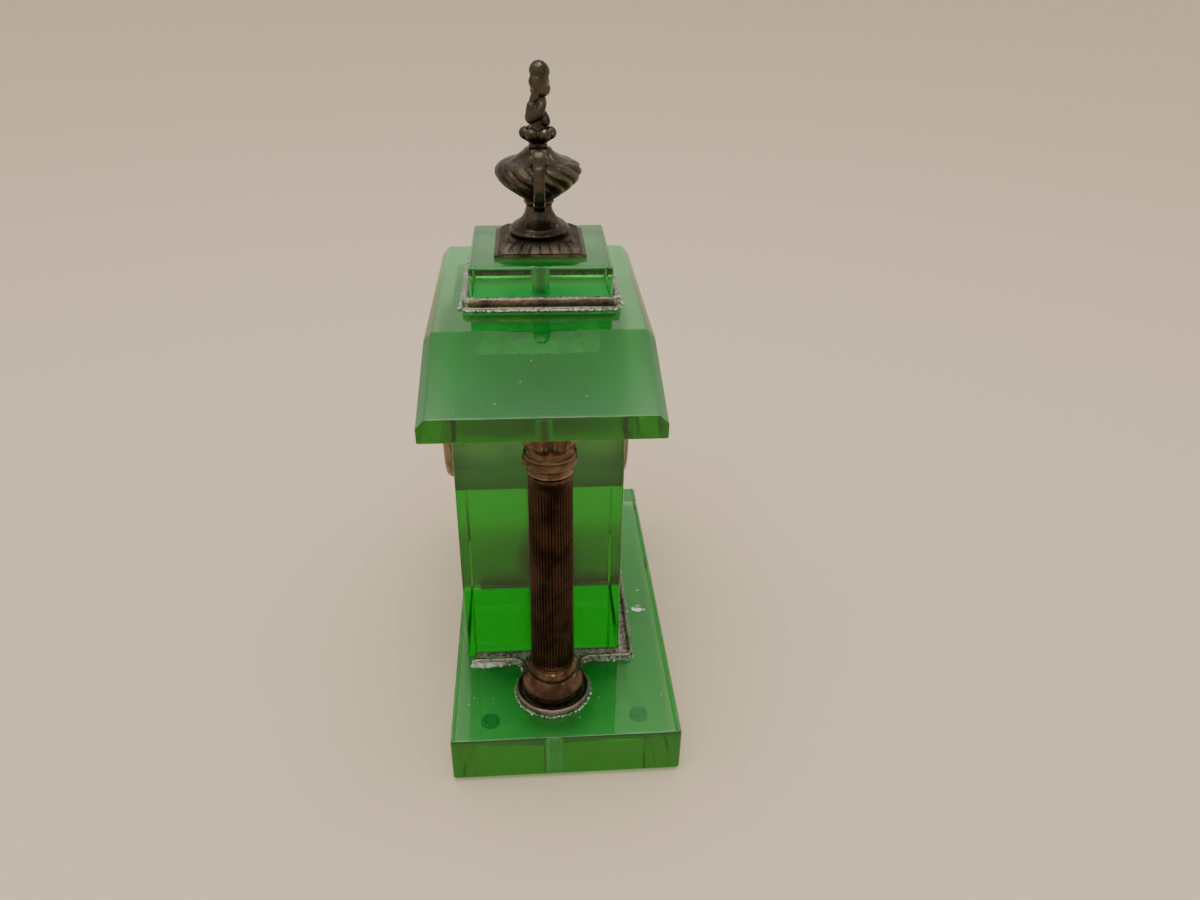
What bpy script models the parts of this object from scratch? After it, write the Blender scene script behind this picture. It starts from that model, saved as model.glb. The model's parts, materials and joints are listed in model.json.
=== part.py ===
"""Portico mantel clock: thick slabs of green glass with bronze mounts, an urn finial and a round movement.

Everything is in metres. X runs along the clock's width, Y along its depth with the dial facing -Y,
and Z up. The origin is the middle of the footprint, on the surface that the feet stand on.
"""

import math

import bmesh
import bpy

# Driving dimensions
GAP = 0.0003  # clearance between pieces that touch
BASE_LENGTH, BASE_DEPTH, BASE_HEIGHT = 0.2340, 0.1200, 0.0275
FOOT_RADIUS, FOOT_HEIGHT = 0.0050, 0.0025
BODY_LENGTH, BODY_DEPTH, BODY_HEIGHT = 0.1116, 0.0860, 0.1727
ROOF_LENGTH, ROOF_DEPTH, ROOF_HEIGHT = 0.2294, 0.1060, 0.0278
ROOF_END_HEIGHT = 0.0115  # height of the roof's upright end faces, below the sloping facets
ROOF_FLAT_LENGTH = 0.1234
BLOCK_LENGTH, BLOCK_DEPTH, BLOCK_HEIGHT = 0.0680, 0.0685, 0.0202
PAD_THICKNESS = 0.0004  # cement between the body and the slabs
ARRIS = 0.0022  # polished bevel along the glass edges

ROOF_FRONT = -0.06125
BASE_Y = ROOF_FRONT + 0.0025 + BASE_DEPTH / 2
BODY_Y = -0.00975
ROOF_Y = ROOF_FRONT + ROOF_DEPTH / 2
CREST_Y = -0.0070  # top block, gallery and finial
COLUMN_X, COLUMN_Y = 0.0830, -0.0050

COLUMN_RADIUS, FLUTES, FLUTE_DEPTH = 0.01115, 36, 0.0006
LOBE_RADIUS = 0.0203
RAIL_WIDTH, RAIL_HEIGHT = 0.0069, 0.0040
RAIL_FRONT = -0.0478
GALLERY_WALL, GALLERY_HEIGHT = 0.0042, 0.0058
ROD_RADIUS, ROD_BORE, BASE_HOLE = 0.0020, 0.0030, 0.0050
STUD_RADIUS, STUD_BORE = 0.0025, 0.0045
PLINTH_SIDE = 0.0444

BORE_RADIUS = 0.0350
DRUM_RADIUS, DRUM_WALL = 0.0346, 0.0008
BEZEL_RADIUS, BEZEL_SIGHT = 0.0400, 0.0325
DOOR_RADIUS, DOOR_SIGHT = 0.0360, 0.0300
HINGE_REACH = 0.0424  # from the clock's axis to the door's pin
PLATE_RADIUS, PILLAR_RADIUS, PILLAR_CIRCLE = 0.0325, 0.0020, 0.0290
HOUR_ANGLE, MINUTE_ANGLE = 305.0, 60.0  # ten past ten, clockwise from twelve

# Levels that follow from them
BASE_TOP = FOOT_HEIGHT + BASE_HEIGHT
BODY_BOTTOM = BASE_TOP + PAD_THICKNESS + 2 * GAP
BODY_TOP = BODY_BOTTOM + BODY_HEIGHT
ROOF_BOTTOM = BODY_TOP + PAD_THICKNESS + 2 * GAP
ROOF_TOP = ROOF_BOTTOM + ROOF_HEIGHT
BLOCK_BOTTOM = ROOF_TOP + GAP
BLOCK_TOP = BLOCK_BOTTOM + BLOCK_HEIGHT
BODY_FRONT = BODY_Y - BODY_DEPTH / 2
BODY_BACK = BODY_Y + BODY_DEPTH / 2
CLOCK_Z = ROOF_BOTTOM - BEZEL_RADIUS - 0.0050

# Depths inside the movement, measured back from the body's front face
DIAL_FRONT, DIAL_THICKNESS = 0.0015, 0.0010
FRONT_PLATE, BACK_PLATE, PLATE_THICKNESS = 0.0060, 0.0320, 0.0016

# Wheel train, as (x, z) from the clock's axis; each pair keeps a small gap between its tooth tips
TOOTH_GAP = 0.0003
CENTRE_WHEEL_TIP, CENTRE_PINION_TIP = 0.0120, 0.0024
BARREL_TIP, THIRD_TIP, ESCAPE_TIP = 0.0135, 0.0095, 0.0065
THIRD_PINION_TIP, ESCAPE_PINION_TIP = 0.0020, 0.0016
CANNON_TIP, MINUTE_WHEEL_TIP, MINUTE_PINION_TIP = 0.0030, 0.0084, 0.0024


def polar(radius, degrees):
    """The point at an angle measured anticlockwise from +X, as seen from the front."""
    turn = math.radians(degrees)
    return (radius * math.cos(turn), radius * math.sin(turn))


def away(start, reach, degrees):
    x, z = polar(reach, degrees)
    return (start[0] + x, start[1] + z)


CENTRE = (0.0, 0.0)
BARREL = away(CENTRE, BARREL_TIP + CENTRE_PINION_TIP + TOOTH_GAP, 225)
THIRD = away(CENTRE, CENTRE_WHEEL_TIP + THIRD_PINION_TIP + TOOTH_GAP, 60)
ESCAPE = away(THIRD, THIRD_TIP + ESCAPE_PINION_TIP + TOOTH_GAP, -10)
MOTION = away(CENTRE, CANNON_TIP + MINUTE_WHEEL_TIP + TOOTH_GAP, 90)
BALANCE = away(CENTRE, 0.0192, -28)

for old in list(bpy.data.objects):
    bpy.data.objects.remove(old, do_unlink=True)

CLOCK = bpy.data.collections.new("portico_clock")
CUTTERS = bpy.data.collections.new("cutters")
for group in (CLOCK, CUTTERS):
    bpy.context.scene.collection.children.link(group)


def finish(name, colour, roughness, metallic, transmission=0.0):
    made = bpy.data.materials.new(name)
    made.use_nodes = True
    shader = made.node_tree.nodes["Principled BSDF"]
    shader.inputs["Base Color"].default_value = (*colour, 1.0)
    shader.inputs["Roughness"].default_value = roughness
    shader.inputs["Metallic"].default_value = metallic
    shader.inputs["Transmission Weight"].default_value = transmission
    shader.inputs["IOR"].default_value = 1.5
    made.diffuse_color = (*colour, 1.0)
    return made


GLASS = finish("green_glass", (0.22, 0.72, 0.24), 0.05, 0.0, 1.0)
CLEAR = finish("clear_glass", (0.95, 0.95, 0.95), 0.03, 0.0, 1.0)
RUBBER = finish("clear_rubber", (0.70, 0.72, 0.70), 0.40, 0.0, 0.5)
BRONZE = finish("patinated_bronze", (0.07, 0.05, 0.035), 0.42, 0.8)
CRUSTED = finish("verdigris_bronze", (0.20, 0.19, 0.16), 0.70, 0.4)
BRASS = finish("brass", (0.62, 0.46, 0.20), 0.35, 1.0)
STEEL = finish("steel", (0.45, 0.45, 0.46), 0.35, 1.0)
BLUED = finish("blued_steel", (0.02, 0.03, 0.08), 0.30, 0.9)
ENAMEL = finish("enamel", (0.86, 0.84, 0.76), 0.25, 0.0)
CEMENT = finish("cement", (0.55, 0.58, 0.50), 0.85, 0.0)

FACING_FRONT = (math.pi / 2, 0.0, 0.0)  # turns a piece's own +Z towards the front, -Y


def add(name, data, material, at=(0, 0, 0), turn=(0, 0, 0)):
    obj = bpy.data.objects.new(name, data)
    obj.location = at
    obj.rotation_euler = turn
    CLOCK.objects.link(obj)
    if not data.materials:
        data.materials.append(material)
    return obj


def combine(obj, tool, operation="DIFFERENCE"):
    """Cuts a tool from an object, or joins it on, and puts the tool away."""
    modifier = obj.modifiers.new(operation.lower(), "BOOLEAN")
    modifier.operation = operation
    modifier.object = tool
    tool.hide_render = True
    tool.display_type = "WIRE"
    CLOCK.objects.unlink(tool)
    CUTTERS.objects.link(tool)
    return obj


def bevel(obj, width, segments=2, angle=30):
    modifier = obj.modifiers.new("arris", "BEVEL")
    modifier.width = width
    modifier.segments = segments
    modifier.limit_method = "ANGLE"
    modifier.angle_limit = math.radians(angle)
    return obj


def box(name, size, middle, material):
    mesh = bpy.data.meshes.new(name)
    work = bmesh.new()
    bmesh.ops.create_cube(work, size=1.0)
    bmesh.ops.scale(work, vec=size, verts=work.verts)
    work.to_mesh(mesh)
    work.free()
    return add(name, mesh, material, middle)


def turned(name, profile, material, at=(0, 0, 0), turn=(0, 0, 0), steps=24, ring=False):
    """A turned piece. The profile is (radius, height) down its outer side, and up the bore of a ring."""
    mesh = bpy.data.meshes.new(name)
    count = len(profile)
    edges = [(i, i + 1) for i in range(count - 1)] + ([(count - 1, 0)] if ring else [])
    mesh.from_pydata([(radius, 0.0, height) for radius, height in profile], edges, [])
    obj = add(name, mesh, material, at, turn)
    screw = obj.modifiers.new("turned", "SCREW")
    screw.steps = screw.render_steps = steps
    screw.use_merge_vertices = True
    screw.merge_threshold = 0.000001
    return obj


def rod(name, radius, length, material, at, turn=(0, 0, 0), steps=16):
    """A cylinder that runs from its place along its own +Z."""
    profile = [(0, length), (radius, length), (radius, 0), (0, 0)]
    return turned(name, profile, material, at, turn, steps)


def tube(name, outer, inner, length, material, at, turn=(0, 0, 0), steps=40):
    profile = [(outer, length), (outer, 0), (inner, 0), (inner, length)]
    return turned(name, profile, material, at, turn, steps, ring=True)


def plate(name, outlines, thickness, material, at=(0, 0, 0), turn=(0, 0, 0)):
    """A flat piece drawn in its own XY plane: the first outline is its edge and the others are holes."""
    drawing = bpy.data.curves.new(name, "CURVE")
    drawing.dimensions = "2D"
    drawing.fill_mode = "BOTH"
    drawing.extrude = thickness / 2
    for outline in outlines:
        spline = drawing.splines.new("POLY")
        spline.points.add(len(outline) - 1)
        for point, (x, y) in zip(spline.points, outline):
            point.co = (x, y, 0, 1)
        spline.use_cyclic_u = True
    return solid(name, drawing, material, at, turn)


def solid(name, drawing, material, at=(0, 0, 0), turn=(0, 0, 0)):
    """Makes a curve into a mesh object with its caps welded on."""
    sketch = bpy.data.objects.new(name + "_sketch", drawing)
    CLOCK.objects.link(sketch)
    graph = bpy.context.evaluated_depsgraph_get()
    mesh = bpy.data.meshes.new_from_object(sketch.evaluated_get(graph))
    bpy.data.objects.remove(sketch, do_unlink=True)
    work = bmesh.new()
    work.from_mesh(mesh)
    bmesh.ops.remove_doubles(work, verts=work.verts, dist=0.000002)
    bmesh.ops.recalc_face_normals(work, faces=work.faces)
    work.to_mesh(mesh)
    work.free()
    return add(name, mesh, material, at, turn)


def arc(centre, radius, start, end, steps):
    """Points from one angle to another, both in degrees and both included."""
    turns = [start + (end - start) * step / steps for step in range(steps + 1)]
    return [away(centre, radius, turn) for turn in turns]


def circle(radius, centre=(0, 0), steps=24):
    return arc(centre, radius, 0, 360, steps)[:-1]


def rounded_rectangle(length, depth, radius, steps=5):
    x, y = length / 2 - radius, depth / 2 - radius
    corners = (((x, y), 0), ((-x, y), 90), ((-x, -y), 180), ((x, -y), 270))
    return [point for centre, start in corners for point in arc(centre, radius, start, start + 90, steps)]


def gear(tip, teeth, height=0.0008):
    """A toothed edge with fine pointed teeth."""
    pitch = 360 / teeth
    points = []
    for tooth in range(teeth):
        points.append(polar(tip - height, tooth * pitch))
        points.append(polar(tip, (tooth + 0.5) * pitch))
    return points


def window(inner, outer, start, end, steps=3):
    """An opening between two arms of a wheel."""
    return arc(CENTRE, outer, start, end, steps) + arc(CENTRE, inner, end, start, steps)


def arms(inner, outer, count, gap=16):
    pitch = 360 / count
    return [window(inner, outer, i * pitch + gap, (i + 1) * pitch - gap) for i in range(count)]


def in_movement(place, depth):
    """World position of a point of the movement, at a depth behind the body's front face."""
    return (place[0], BODY_FRONT + depth, CLOCK_Z + place[1])


# ---------------------------------------------------------------- glass case


def glass_slab(name, length, depth, height, y, bottom):
    slab = box(name, (length, depth, height), (0, y, bottom + height / 2), GLASS)
    return bevel(slab, ARRIS, 2)


def make_base():
    base = glass_slab("base_slab", BASE_LENGTH, BASE_DEPTH, BASE_HEIGHT, BASE_Y, FOOT_HEIGHT)
    for side in (-1, 1):
        place = (side * COLUMN_X, COLUMN_Y, -0.01)
        hole = rod(f"base_drill_{side}", BASE_HOLE, 2 * BASE_HEIGHT, GLASS, place)
        combine(base, hole)
    spots = {"front_left": (-1, -1), "front_right": (1, -1), "back_left": (-1, 1), "back_right": (1, 1)}
    for name, (x, y) in spots.items():
        profile = [(0, 0.0022), (0.0042, 0.0022), (FOOT_RADIUS, 0.0013), (FOOT_RADIUS, 0), (0, 0)]
        place = (x * 0.0880, BASE_Y + y * 0.0410, 0)
        turned(f"foot_{name}", profile, RUBBER, place, steps=16)


def make_body():
    body = glass_slab("body_block", BODY_LENGTH, BODY_DEPTH, BODY_HEIGHT, BODY_Y, BODY_BOTTOM)
    bore = rod("body_drill", BORE_RADIUS, 0.12, GLASS, (0, BODY_BACK + 0.015, CLOCK_Z), FACING_FRONT, 48)
    combine(body, bore)
    pad_size = (BODY_LENGTH - 0.008, BODY_DEPTH - 0.008, PAD_THICKNESS)
    for name, bottom in (("lower_cement", BASE_TOP + GAP), ("upper_cement", BODY_TOP + GAP)):
        pad = box(name, pad_size, (0, BODY_Y, bottom + PAD_THICKNESS / 2), CEMENT)
        if name == "upper_cement":
            combine(pad, rod("cement_drill", 0.0085, 0.01, CEMENT, (0, CREST_Y, BODY_TOP - 0.004)))


def roof_outline():
    half, flat = ROOF_LENGTH / 2, ROOF_FLAT_LENGTH / 2
    side = [(half, 0), (half, ROOF_END_HEIGHT), (flat, ROOF_HEIGHT)]
    return side + [(-x, z) for x, z in reversed(side)]


def make_roof():
    """A slab with a flat top that slopes down to both ends, like a low hipped lid."""
    place = (0, ROOF_Y, ROOF_BOTTOM)
    roof = plate("roof_slab", [roof_outline()], ROOF_DEPTH, GLASS, place, FACING_FRONT)
    bevel(roof, ARRIS, 2, 10)
    combine(roof, rod("roof_drill", STUD_BORE, 0.06, GLASS, (0, CREST_Y, ROOF_BOTTOM - 0.01)))
    combine(roof, rod("roof_counterbore", 0.0080, 0.0160, GLASS, (0, CREST_Y, ROOF_BOTTOM - 0.010)))
    block = glass_slab("top_block", BLOCK_LENGTH, BLOCK_DEPTH, BLOCK_HEIGHT, CREST_Y, BLOCK_BOTTOM)
    combine(block, rod("block_drill", STUD_BORE, 0.06, GLASS, (0, CREST_Y, BLOCK_BOTTOM - 0.01)))


# ---------------------------------------------------------------- bronze rails


def raise_top(obj, inset, rise):
    """Slopes a plate's upper edges inwards, like the shoulders of a moulding."""
    work = bmesh.new()
    work.from_mesh(obj.data)
    top = [face for face in work.faces if face.normal.z > 0.9]
    step = {"thickness": inset, "depth": rise, "use_boundary": True, "use_even_offset": True}
    bmesh.ops.inset_region(work, faces=top, **step)
    work.to_mesh(obj.data)
    work.free()
    return obj


def rail_outline():
    """Half of the rail's outer edge, from its front end round the column's lobe to the back corner."""
    outer_x = BODY_LENGTH / 2 + GAP + RAIL_WIDTH
    outer_y = BODY_BACK + GAP + RAIL_WIDTH + 0.0010
    lobe = arc((COLUMN_X, COLUMN_Y), LOBE_RADIUS, -135, 135, 16)
    corner = arc((outer_x - 0.004, outer_y - 0.004), 0.004, 0, 90, 4)
    return [(outer_x, RAIL_FRONT), (outer_x, lobe[0][1]), *lobe, (outer_x, lobe[-1][1]), *corner]


def make_base_rail():
    """A moulding round three sides of the body, with a round seat for each column."""
    inner_x = BODY_LENGTH / 2 + GAP
    inner_y = BODY_BACK + GAP
    half = rail_outline()
    inside = [(-inner_x, RAIL_FRONT), (-inner_x, inner_y), (inner_x, inner_y), (inner_x, RAIL_FRONT)]
    outline = half + [(-x, y) for x, y in reversed(half)] + inside
    edge = 0.6 * RAIL_HEIGHT
    rail = plate("base_rail", [outline], edge, CRUSTED, (0, 0, BASE_TOP + GAP + edge / 2))
    raise_top(rail, 0.0012, RAIL_HEIGHT - edge)
    for side in (-1, 1):
        place = (side * COLUMN_X, COLUMN_Y, BASE_TOP - 0.01)
        seat = rod(f"rail_drill_{side}", ROD_BORE, 0.02, CRUSTED, place)
        combine(rail, seat)


def make_gallery():
    """The moulded frame that the top block stands in."""
    outer = rounded_rectangle(BLOCK_LENGTH + 2 * GALLERY_WALL, BLOCK_DEPTH + 2 * GALLERY_WALL, 0.0050)
    inner = rounded_rectangle(BLOCK_LENGTH + 2 * GAP, BLOCK_DEPTH + 2 * GAP, 0.0010, 2)
    edge = 0.7 * GALLERY_HEIGHT
    gallery = plate("top_gallery", [outer, inner], edge, CRUSTED, (0, CREST_Y, ROOF_TOP + GAP + edge / 2))
    raise_top(gallery, 0.0010, GALLERY_HEIGHT - edge)


# ---------------------------------------------------------------- columns


def fluted_outline():
    points = []
    for flute in range(FLUTES):
        for part in range(3):
            across = part / 3
            radius = COLUMN_RADIUS - FLUTE_DEPTH * (1 - (2 * across - 1) ** 2)
            points.append(polar(radius, (flute + across) * 360 / FLUTES))
    return points


def make_column(name, x):
    """Turned base, fluted shaft and capital, pulled down on the base slab by one long bolt."""
    seat = BASE_TOP + GAP + RAIL_HEIGHT + GAP
    base_profile = [
        (COLUMN_RADIUS + 0.0006, 0.0148),
        (COLUMN_RADIUS + 0.0008, 0.0118),
        (0.0130, 0.0100),
        (0.0130, 0.0078),
        (0.0118, 0.0062),
        (0.0158, 0.0040),
        (0.0168, 0.0026),
        (0.0166, 0.0),
        (ROD_BORE, 0.0),
        (ROD_BORE, 0.0148),
    ]
    turned(f"{name}_base", base_profile, BRONZE, (x, COLUMN_Y, seat), ring=True)
    shaft_bottom = seat + 0.0148 + GAP
    capital_bottom = ROOF_BOTTOM - GAP - 0.0330
    shaft_length = capital_bottom - GAP - shaft_bottom
    place = (x, COLUMN_Y, shaft_bottom + shaft_length / 2)
    plate(f"{name}_shaft", [fluted_outline(), circle(ROD_BORE)], shaft_length, BRONZE, place)
    bell = [
        (0, 0.0286),
        (0.0152, 0.0286),
        (0.0156, 0.0258),
        (0.0119, 0.0130),
        (0.0116, 0.0080),
        (0.0124, 0.0066),
        (0.0124, 0.0048),
        (0.0115, 0.0040),
        (0.0121, 0.0028),
        (0.0119, 0.0),
        (ROD_BORE, 0.0),
        (ROD_BORE, 0.0240),
        (0, 0.0240),
    ]
    capital = turned(f"{name}_capital", bell, BRONZE, (x, COLUMN_Y, capital_bottom), steps=20)
    abacus_middle = (x, COLUMN_Y, ROOF_BOTTOM - GAP - 0.0026)
    abacus = box(f"{name}_abacus", (0.0336, 0.0336, 0.0052), abacus_middle, BRONZE)
    combine(capital, bevel(abacus, 0.0008, 1), "UNION")
    head = 0.0014
    top = capital_bottom + 0.0230 - 0.0008
    bolt = [(0, top), (ROD_RADIUS, top), (ROD_RADIUS, 0.0008 + head), (0.0070, 0.0008 + head)]
    bolt += [(0.0070, 0.0012), (0.0066, 0.0008), (0, 0.0008)]
    turned(f"{name}_bolt", bolt, STEEL, (x, COLUMN_Y, 0), steps=12)


# ---------------------------------------------------------------- finial


def make_finial():
    """A two-handled urn with a lid and a flame, on a square plinth, held by one stud through the roof."""
    plinth_bottom = BLOCK_TOP + GAP
    half = PLINTH_SIDE / 2
    plate_middle = (0, CREST_Y, plinth_bottom + 0.0008)
    plinth = box("finial_plinth", (PLINTH_SIDE, PLINTH_SIDE, 0.0016), plate_middle, BRONZE)
    skirt_profile = [(0, 0.0064), (0.0150, 0.0064), (0.0176, 0.0046), (0.0200, 0.0020)]
    skirt_profile += [(half - 0.0003, 0.0008), (0, 0.0008)]
    skirt = turned("plinth_skirt", skirt_profile, BRONZE, (0, CREST_Y, plinth_bottom), steps=36)
    combine(plinth, skirt, "UNION")
    combine(plinth, rod("plinth_drill", 0.0028, 0.02, BRONZE, (0, CREST_Y, plinth_bottom - 0.01)))

    urn_bottom = plinth_bottom + 0.0064 + GAP
    urn = [
        (0, 0.0404),
        (0.0045, 0.0404),
        (0.0060, 0.0400),
        (0.0090, 0.0370),
        (0.0160, 0.0345),
        (0.0198, 0.0300),
        (0.0190, 0.0262),
        (0.0150, 0.0215),
        (0.0098, 0.0176),
        (0.0066, 0.0150),
        (0.0058, 0.0126),
        (0.0066, 0.0108),
        (0.0100, 0.0082),
        (0.0121, 0.0056),
        (0.0128, 0.0038),
        (0.0146, 0.0020),
        (0.0146, 0.0),
        (0, 0.0),
    ]
    turned("urn_bowl", urn, BRONZE, (0, CREST_Y, urn_bottom), steps=22)
    lid_bottom = urn_bottom + 0.0404 + GAP
    lid = [(0, 0.0100), (0.0030, 0.0100), (0.0046, 0.0086), (0.0084, 0.0062), (0.0088, 0.0040)]
    lid += [(0.0070, 0.0022), (0.0052, 0.0008), (0.0052, 0.0), (0, 0.0)]
    turned("urn_lid", lid, BRONZE, (0, CREST_Y, lid_bottom), steps=18)
    flame_bottom = lid_bottom + 0.0100 + GAP
    flame = [(0, 0.0280), (0.0026, 0.0270), (0.0046, 0.0232), (0.0050, 0.0200), (0.0034, 0.0150)]
    flame += [(0.0032, 0.0120), (0.0042, 0.0080), (0.0040, 0.0040), (0.0028, 0.0010), (0.0026, 0), (0, 0)]
    turned("flame", flame, BRONZE, (0, CREST_Y + 0.0020, flame_bottom), steps=14)

    for name, side in (("urn_handle_right", 1), ("urn_handle_left", -1)):
        make_handle(name, side, urn_bottom)

    stud_length = plinth_bottom + 0.0050 - (ROOF_BOTTOM + 0.0006)
    rod("finial_stud", STUD_RADIUS, stud_length, STEEL, (0, CREST_Y, ROOF_BOTTOM + 0.0006))
    nut = [polar(0.0062, 60 * side) for side in range(6)]
    place = (0, CREST_Y, ROOF_BOTTOM + 0.0006 + 0.0022)
    plate("stud_nut", [nut, circle(STUD_RADIUS + GAP)], 0.0040, BRASS, place)


def make_handle(name, side, bottom):
    """A scroll from under the bowl, out and up past its rim, and over into a small curl."""
    sweep = arc((0.0150, 0.0290), 0.0122, -95, 40, 9)
    curl = arc((0.0190, 0.0392), 0.0042, 0, 200, 7)
    route = [(0.0092, 0.0125), (0.0106, 0.0146)] + sweep + curl
    drawing = bpy.data.curves.new(name, "CURVE")
    drawing.dimensions = "3D"
    drawing.bevel_depth = 0.0020
    drawing.bevel_resolution = 1
    drawing.use_fill_caps = True
    spline = drawing.splines.new("POLY")
    spline.points.add(len(route) - 1)
    for point, (x, z) in zip(spline.points, route):
        point.co = (side * x, 0, z, 1)
    solid(name, drawing, BRONZE, (0, CREST_Y, bottom))


# ---------------------------------------------------------------- bezels and doors


def make_opening(name, face_y, turn_z, bezel_thickness, door_thickness, glazed):
    """A fixed bezel and its hinged door. They are drawn facing -Y and turned about the clock's axis."""
    turn = (math.pi / 2, 0, turn_z)
    outward = -1 if turn_z == 0 else 1

    def at(depth, x=0.0, z=0.0):
        return (-x, face_y + outward * depth, CLOCK_Z + z)

    bezel = tube(f"{name}_bezel", BEZEL_RADIUS, BEZEL_SIGHT, bezel_thickness, BRONZE, at(GAP), turn, 36)
    door_depth = GAP + bezel_thickness + GAP
    pin_depth = door_depth + door_thickness / 2
    for label, low in (("upper", 0.0039), ("lower", -0.0089)):
        lug_place = at(0.0022, HINGE_REACH - 0.0009, low + 0.0025)
        combine(bezel, box(f"{name}_{label}_lug", (0.0050, 0.0028, 0.0050), lug_place, BRONZE), "UNION")
        knuckle = rod(f"{name}_{label}_knuckle", 0.0022, 0.0050, BRONZE, at(pin_depth, HINGE_REACH, low))
        combine(bezel, knuckle, "UNION")
    hole = rod(f"{name}_bezel_pin_hole", 0.0013, 0.03, BRONZE, at(pin_depth, HINGE_REACH, -0.015))
    combine(bezel, hole)

    if glazed:
        profile = [(DOOR_RADIUS - 0.0030, door_thickness), (DOOR_RADIUS, 0.0022), (DOOR_RADIUS, 0)]
        profile += [(0.0315, 0), (0.0315, 0.0027), (DOOR_SIGHT, 0.0027), (DOOR_SIGHT, 0.0034)]
        door = turned(f"{name}_door", profile, BRONZE, at(door_depth), turn, 40, ring=True)
        pane = [(0, 0.0011), (0.0306, 0.0011), (0.0312, 0.0006), (0.0312, 0), (0, 0)]
        turned(f"{name}_door_glass", pane, CLEAR, at(door_depth + 0.0013), turn, 40)
    else:
        profile = [(0, 0.0032), (0.0020, 0.0032), (0.0020, 0.0014), (0.0310, 0.0014)]
        profile += [(0.0332, 0.0022), (DOOR_RADIUS, 0.0014), (DOOR_RADIUS, 0)]
        door = turned(f"{name}_door", profile + [(0, 0)], BRONZE, at(door_depth), turn, 40)
    arm_place = at(door_depth + 0.0007, HINGE_REACH - 0.0036)
    arm = box(f"{name}_door_arm", (0.0060, 0.0012, 0.0072), arm_place, BRONZE)
    combine(door, arm, "UNION")
    knuckle = rod(f"{name}_door_knuckle", 0.0020, 0.0072, BRONZE, at(pin_depth, HINGE_REACH, -0.0036))
    combine(door, knuckle, "UNION")
    hole = rod(f"{name}_door_pin_hole", 0.0013, 0.03, BRONZE, at(pin_depth, HINGE_REACH, -0.015))
    combine(door, hole)
    rod(f"{name}_door_pin", 0.0010, 0.0188, STEEL, at(pin_depth, HINGE_REACH, -0.0094), steps=16)


# ---------------------------------------------------------------- dial and movement


def make_drum():
    length = BODY_DEPTH - 2 * GAP
    place = in_movement(CENTRE, BODY_DEPTH - GAP)
    tube("movement_drum", DRUM_RADIUS, DRUM_RADIUS - DRUM_WALL, length, BRASS, place, FACING_FRONT, 48)


def make_dial():
    holes = [circle(0.0034, steps=20), circle(0.0028, BARREL, 20)]
    place = in_movement(CENTRE, DIAL_FRONT + DIAL_THICKNESS / 2)
    plate("dial", [circle(0.0334, steps=48), *holes], DIAL_THICKNESS, ENAMEL, place, FACING_FRONT)


def hand_outline(length, width, boss):
    """A tapering hand with an eye two thirds of the way out and a round boss."""
    eye = 0.68 * length
    tail = arc(CENTRE, boss, 110, 430, 20)
    right = [(width / 2, eye - width), (1.1 * width, eye), (width / 2, eye + width), (0.0002, length)]
    return tail + right + [(-x, y) for x, y in reversed(right)]


def make_hands():
    for name, length, width, boss, depth, angle, bore in (
        ("hour_hand", 0.0185, 0.0016, 0.0042, -0.0004, HOUR_ANGLE, 0.0032),
        ("minute_hand", 0.0270, 0.0013, 0.0030, -0.0016, MINUTE_ANGLE, 0.0015),
    ):
        outline = hand_outline(length, width, boss)
        turn = (math.pi / 2, math.radians(angle), 0)
        place = in_movement(CENTRE, depth)
        plate(name, [outline, circle(bore, steps=16)], 0.0006, BLUED, place, turn)


def make_plates():
    """Two round plates held apart by four pillars, with a pivot hole for every arbor."""
    pivots = [THIRD, ESCAPE, BALANCE]
    for name, depth in (("front_plate", FRONT_PLATE), ("back_plate", BACK_PLATE)):
        holes = [circle(0.0017, CENTRE, 16), circle(0.0020, BARREL, 16)]
        holes += [circle(0.0012, pivot, 12) for pivot in pivots]
        place = in_movement(CENTRE, depth + PLATE_THICKNESS / 2)
        plate(name, [circle(PLATE_RADIUS, steps=36), *holes], PLATE_THICKNESS, BRASS, place, FACING_FRONT)
    length = BACK_PLATE - FRONT_PLATE - PLATE_THICKNESS - 2 * GAP
    for number, angle in enumerate((60, 135, 190, 290), 1):
        waist = PILLAR_RADIUS * 0.75
        profile = [(0, length), (PILLAR_RADIUS, length), (PILLAR_RADIUS, length - 0.003)]
        profile += [(waist, length - 0.005)]
        profile += [(waist, 0.005), (PILLAR_RADIUS, 0.003), (PILLAR_RADIUS, 0), (0, 0)]
        place = in_movement(polar(PILLAR_CIRCLE, angle), BACK_PLATE - GAP)
        turned(f"pillar_{number}", profile, BRASS, place, FACING_FRONT, 16)


def toothed(name, tip, teeth, thickness, depth, place, material, bore=None, windows=()):
    """A toothed disc, centred in depth, facing the front."""
    outlines = [gear(tip, teeth), *windows]
    if bore:
        outlines.append(circle(bore, steps=16))
    return plate(name, outlines, thickness, material, in_movement(place, depth), FACING_FRONT)


def arbor(name, radius, front, back, place, material=STEEL, steps=12):
    """A plain arbor between two depths behind the body's front face."""
    return rod(name, radius, back - front, material, in_movement(place, back), FACING_FRONT, steps)


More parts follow.
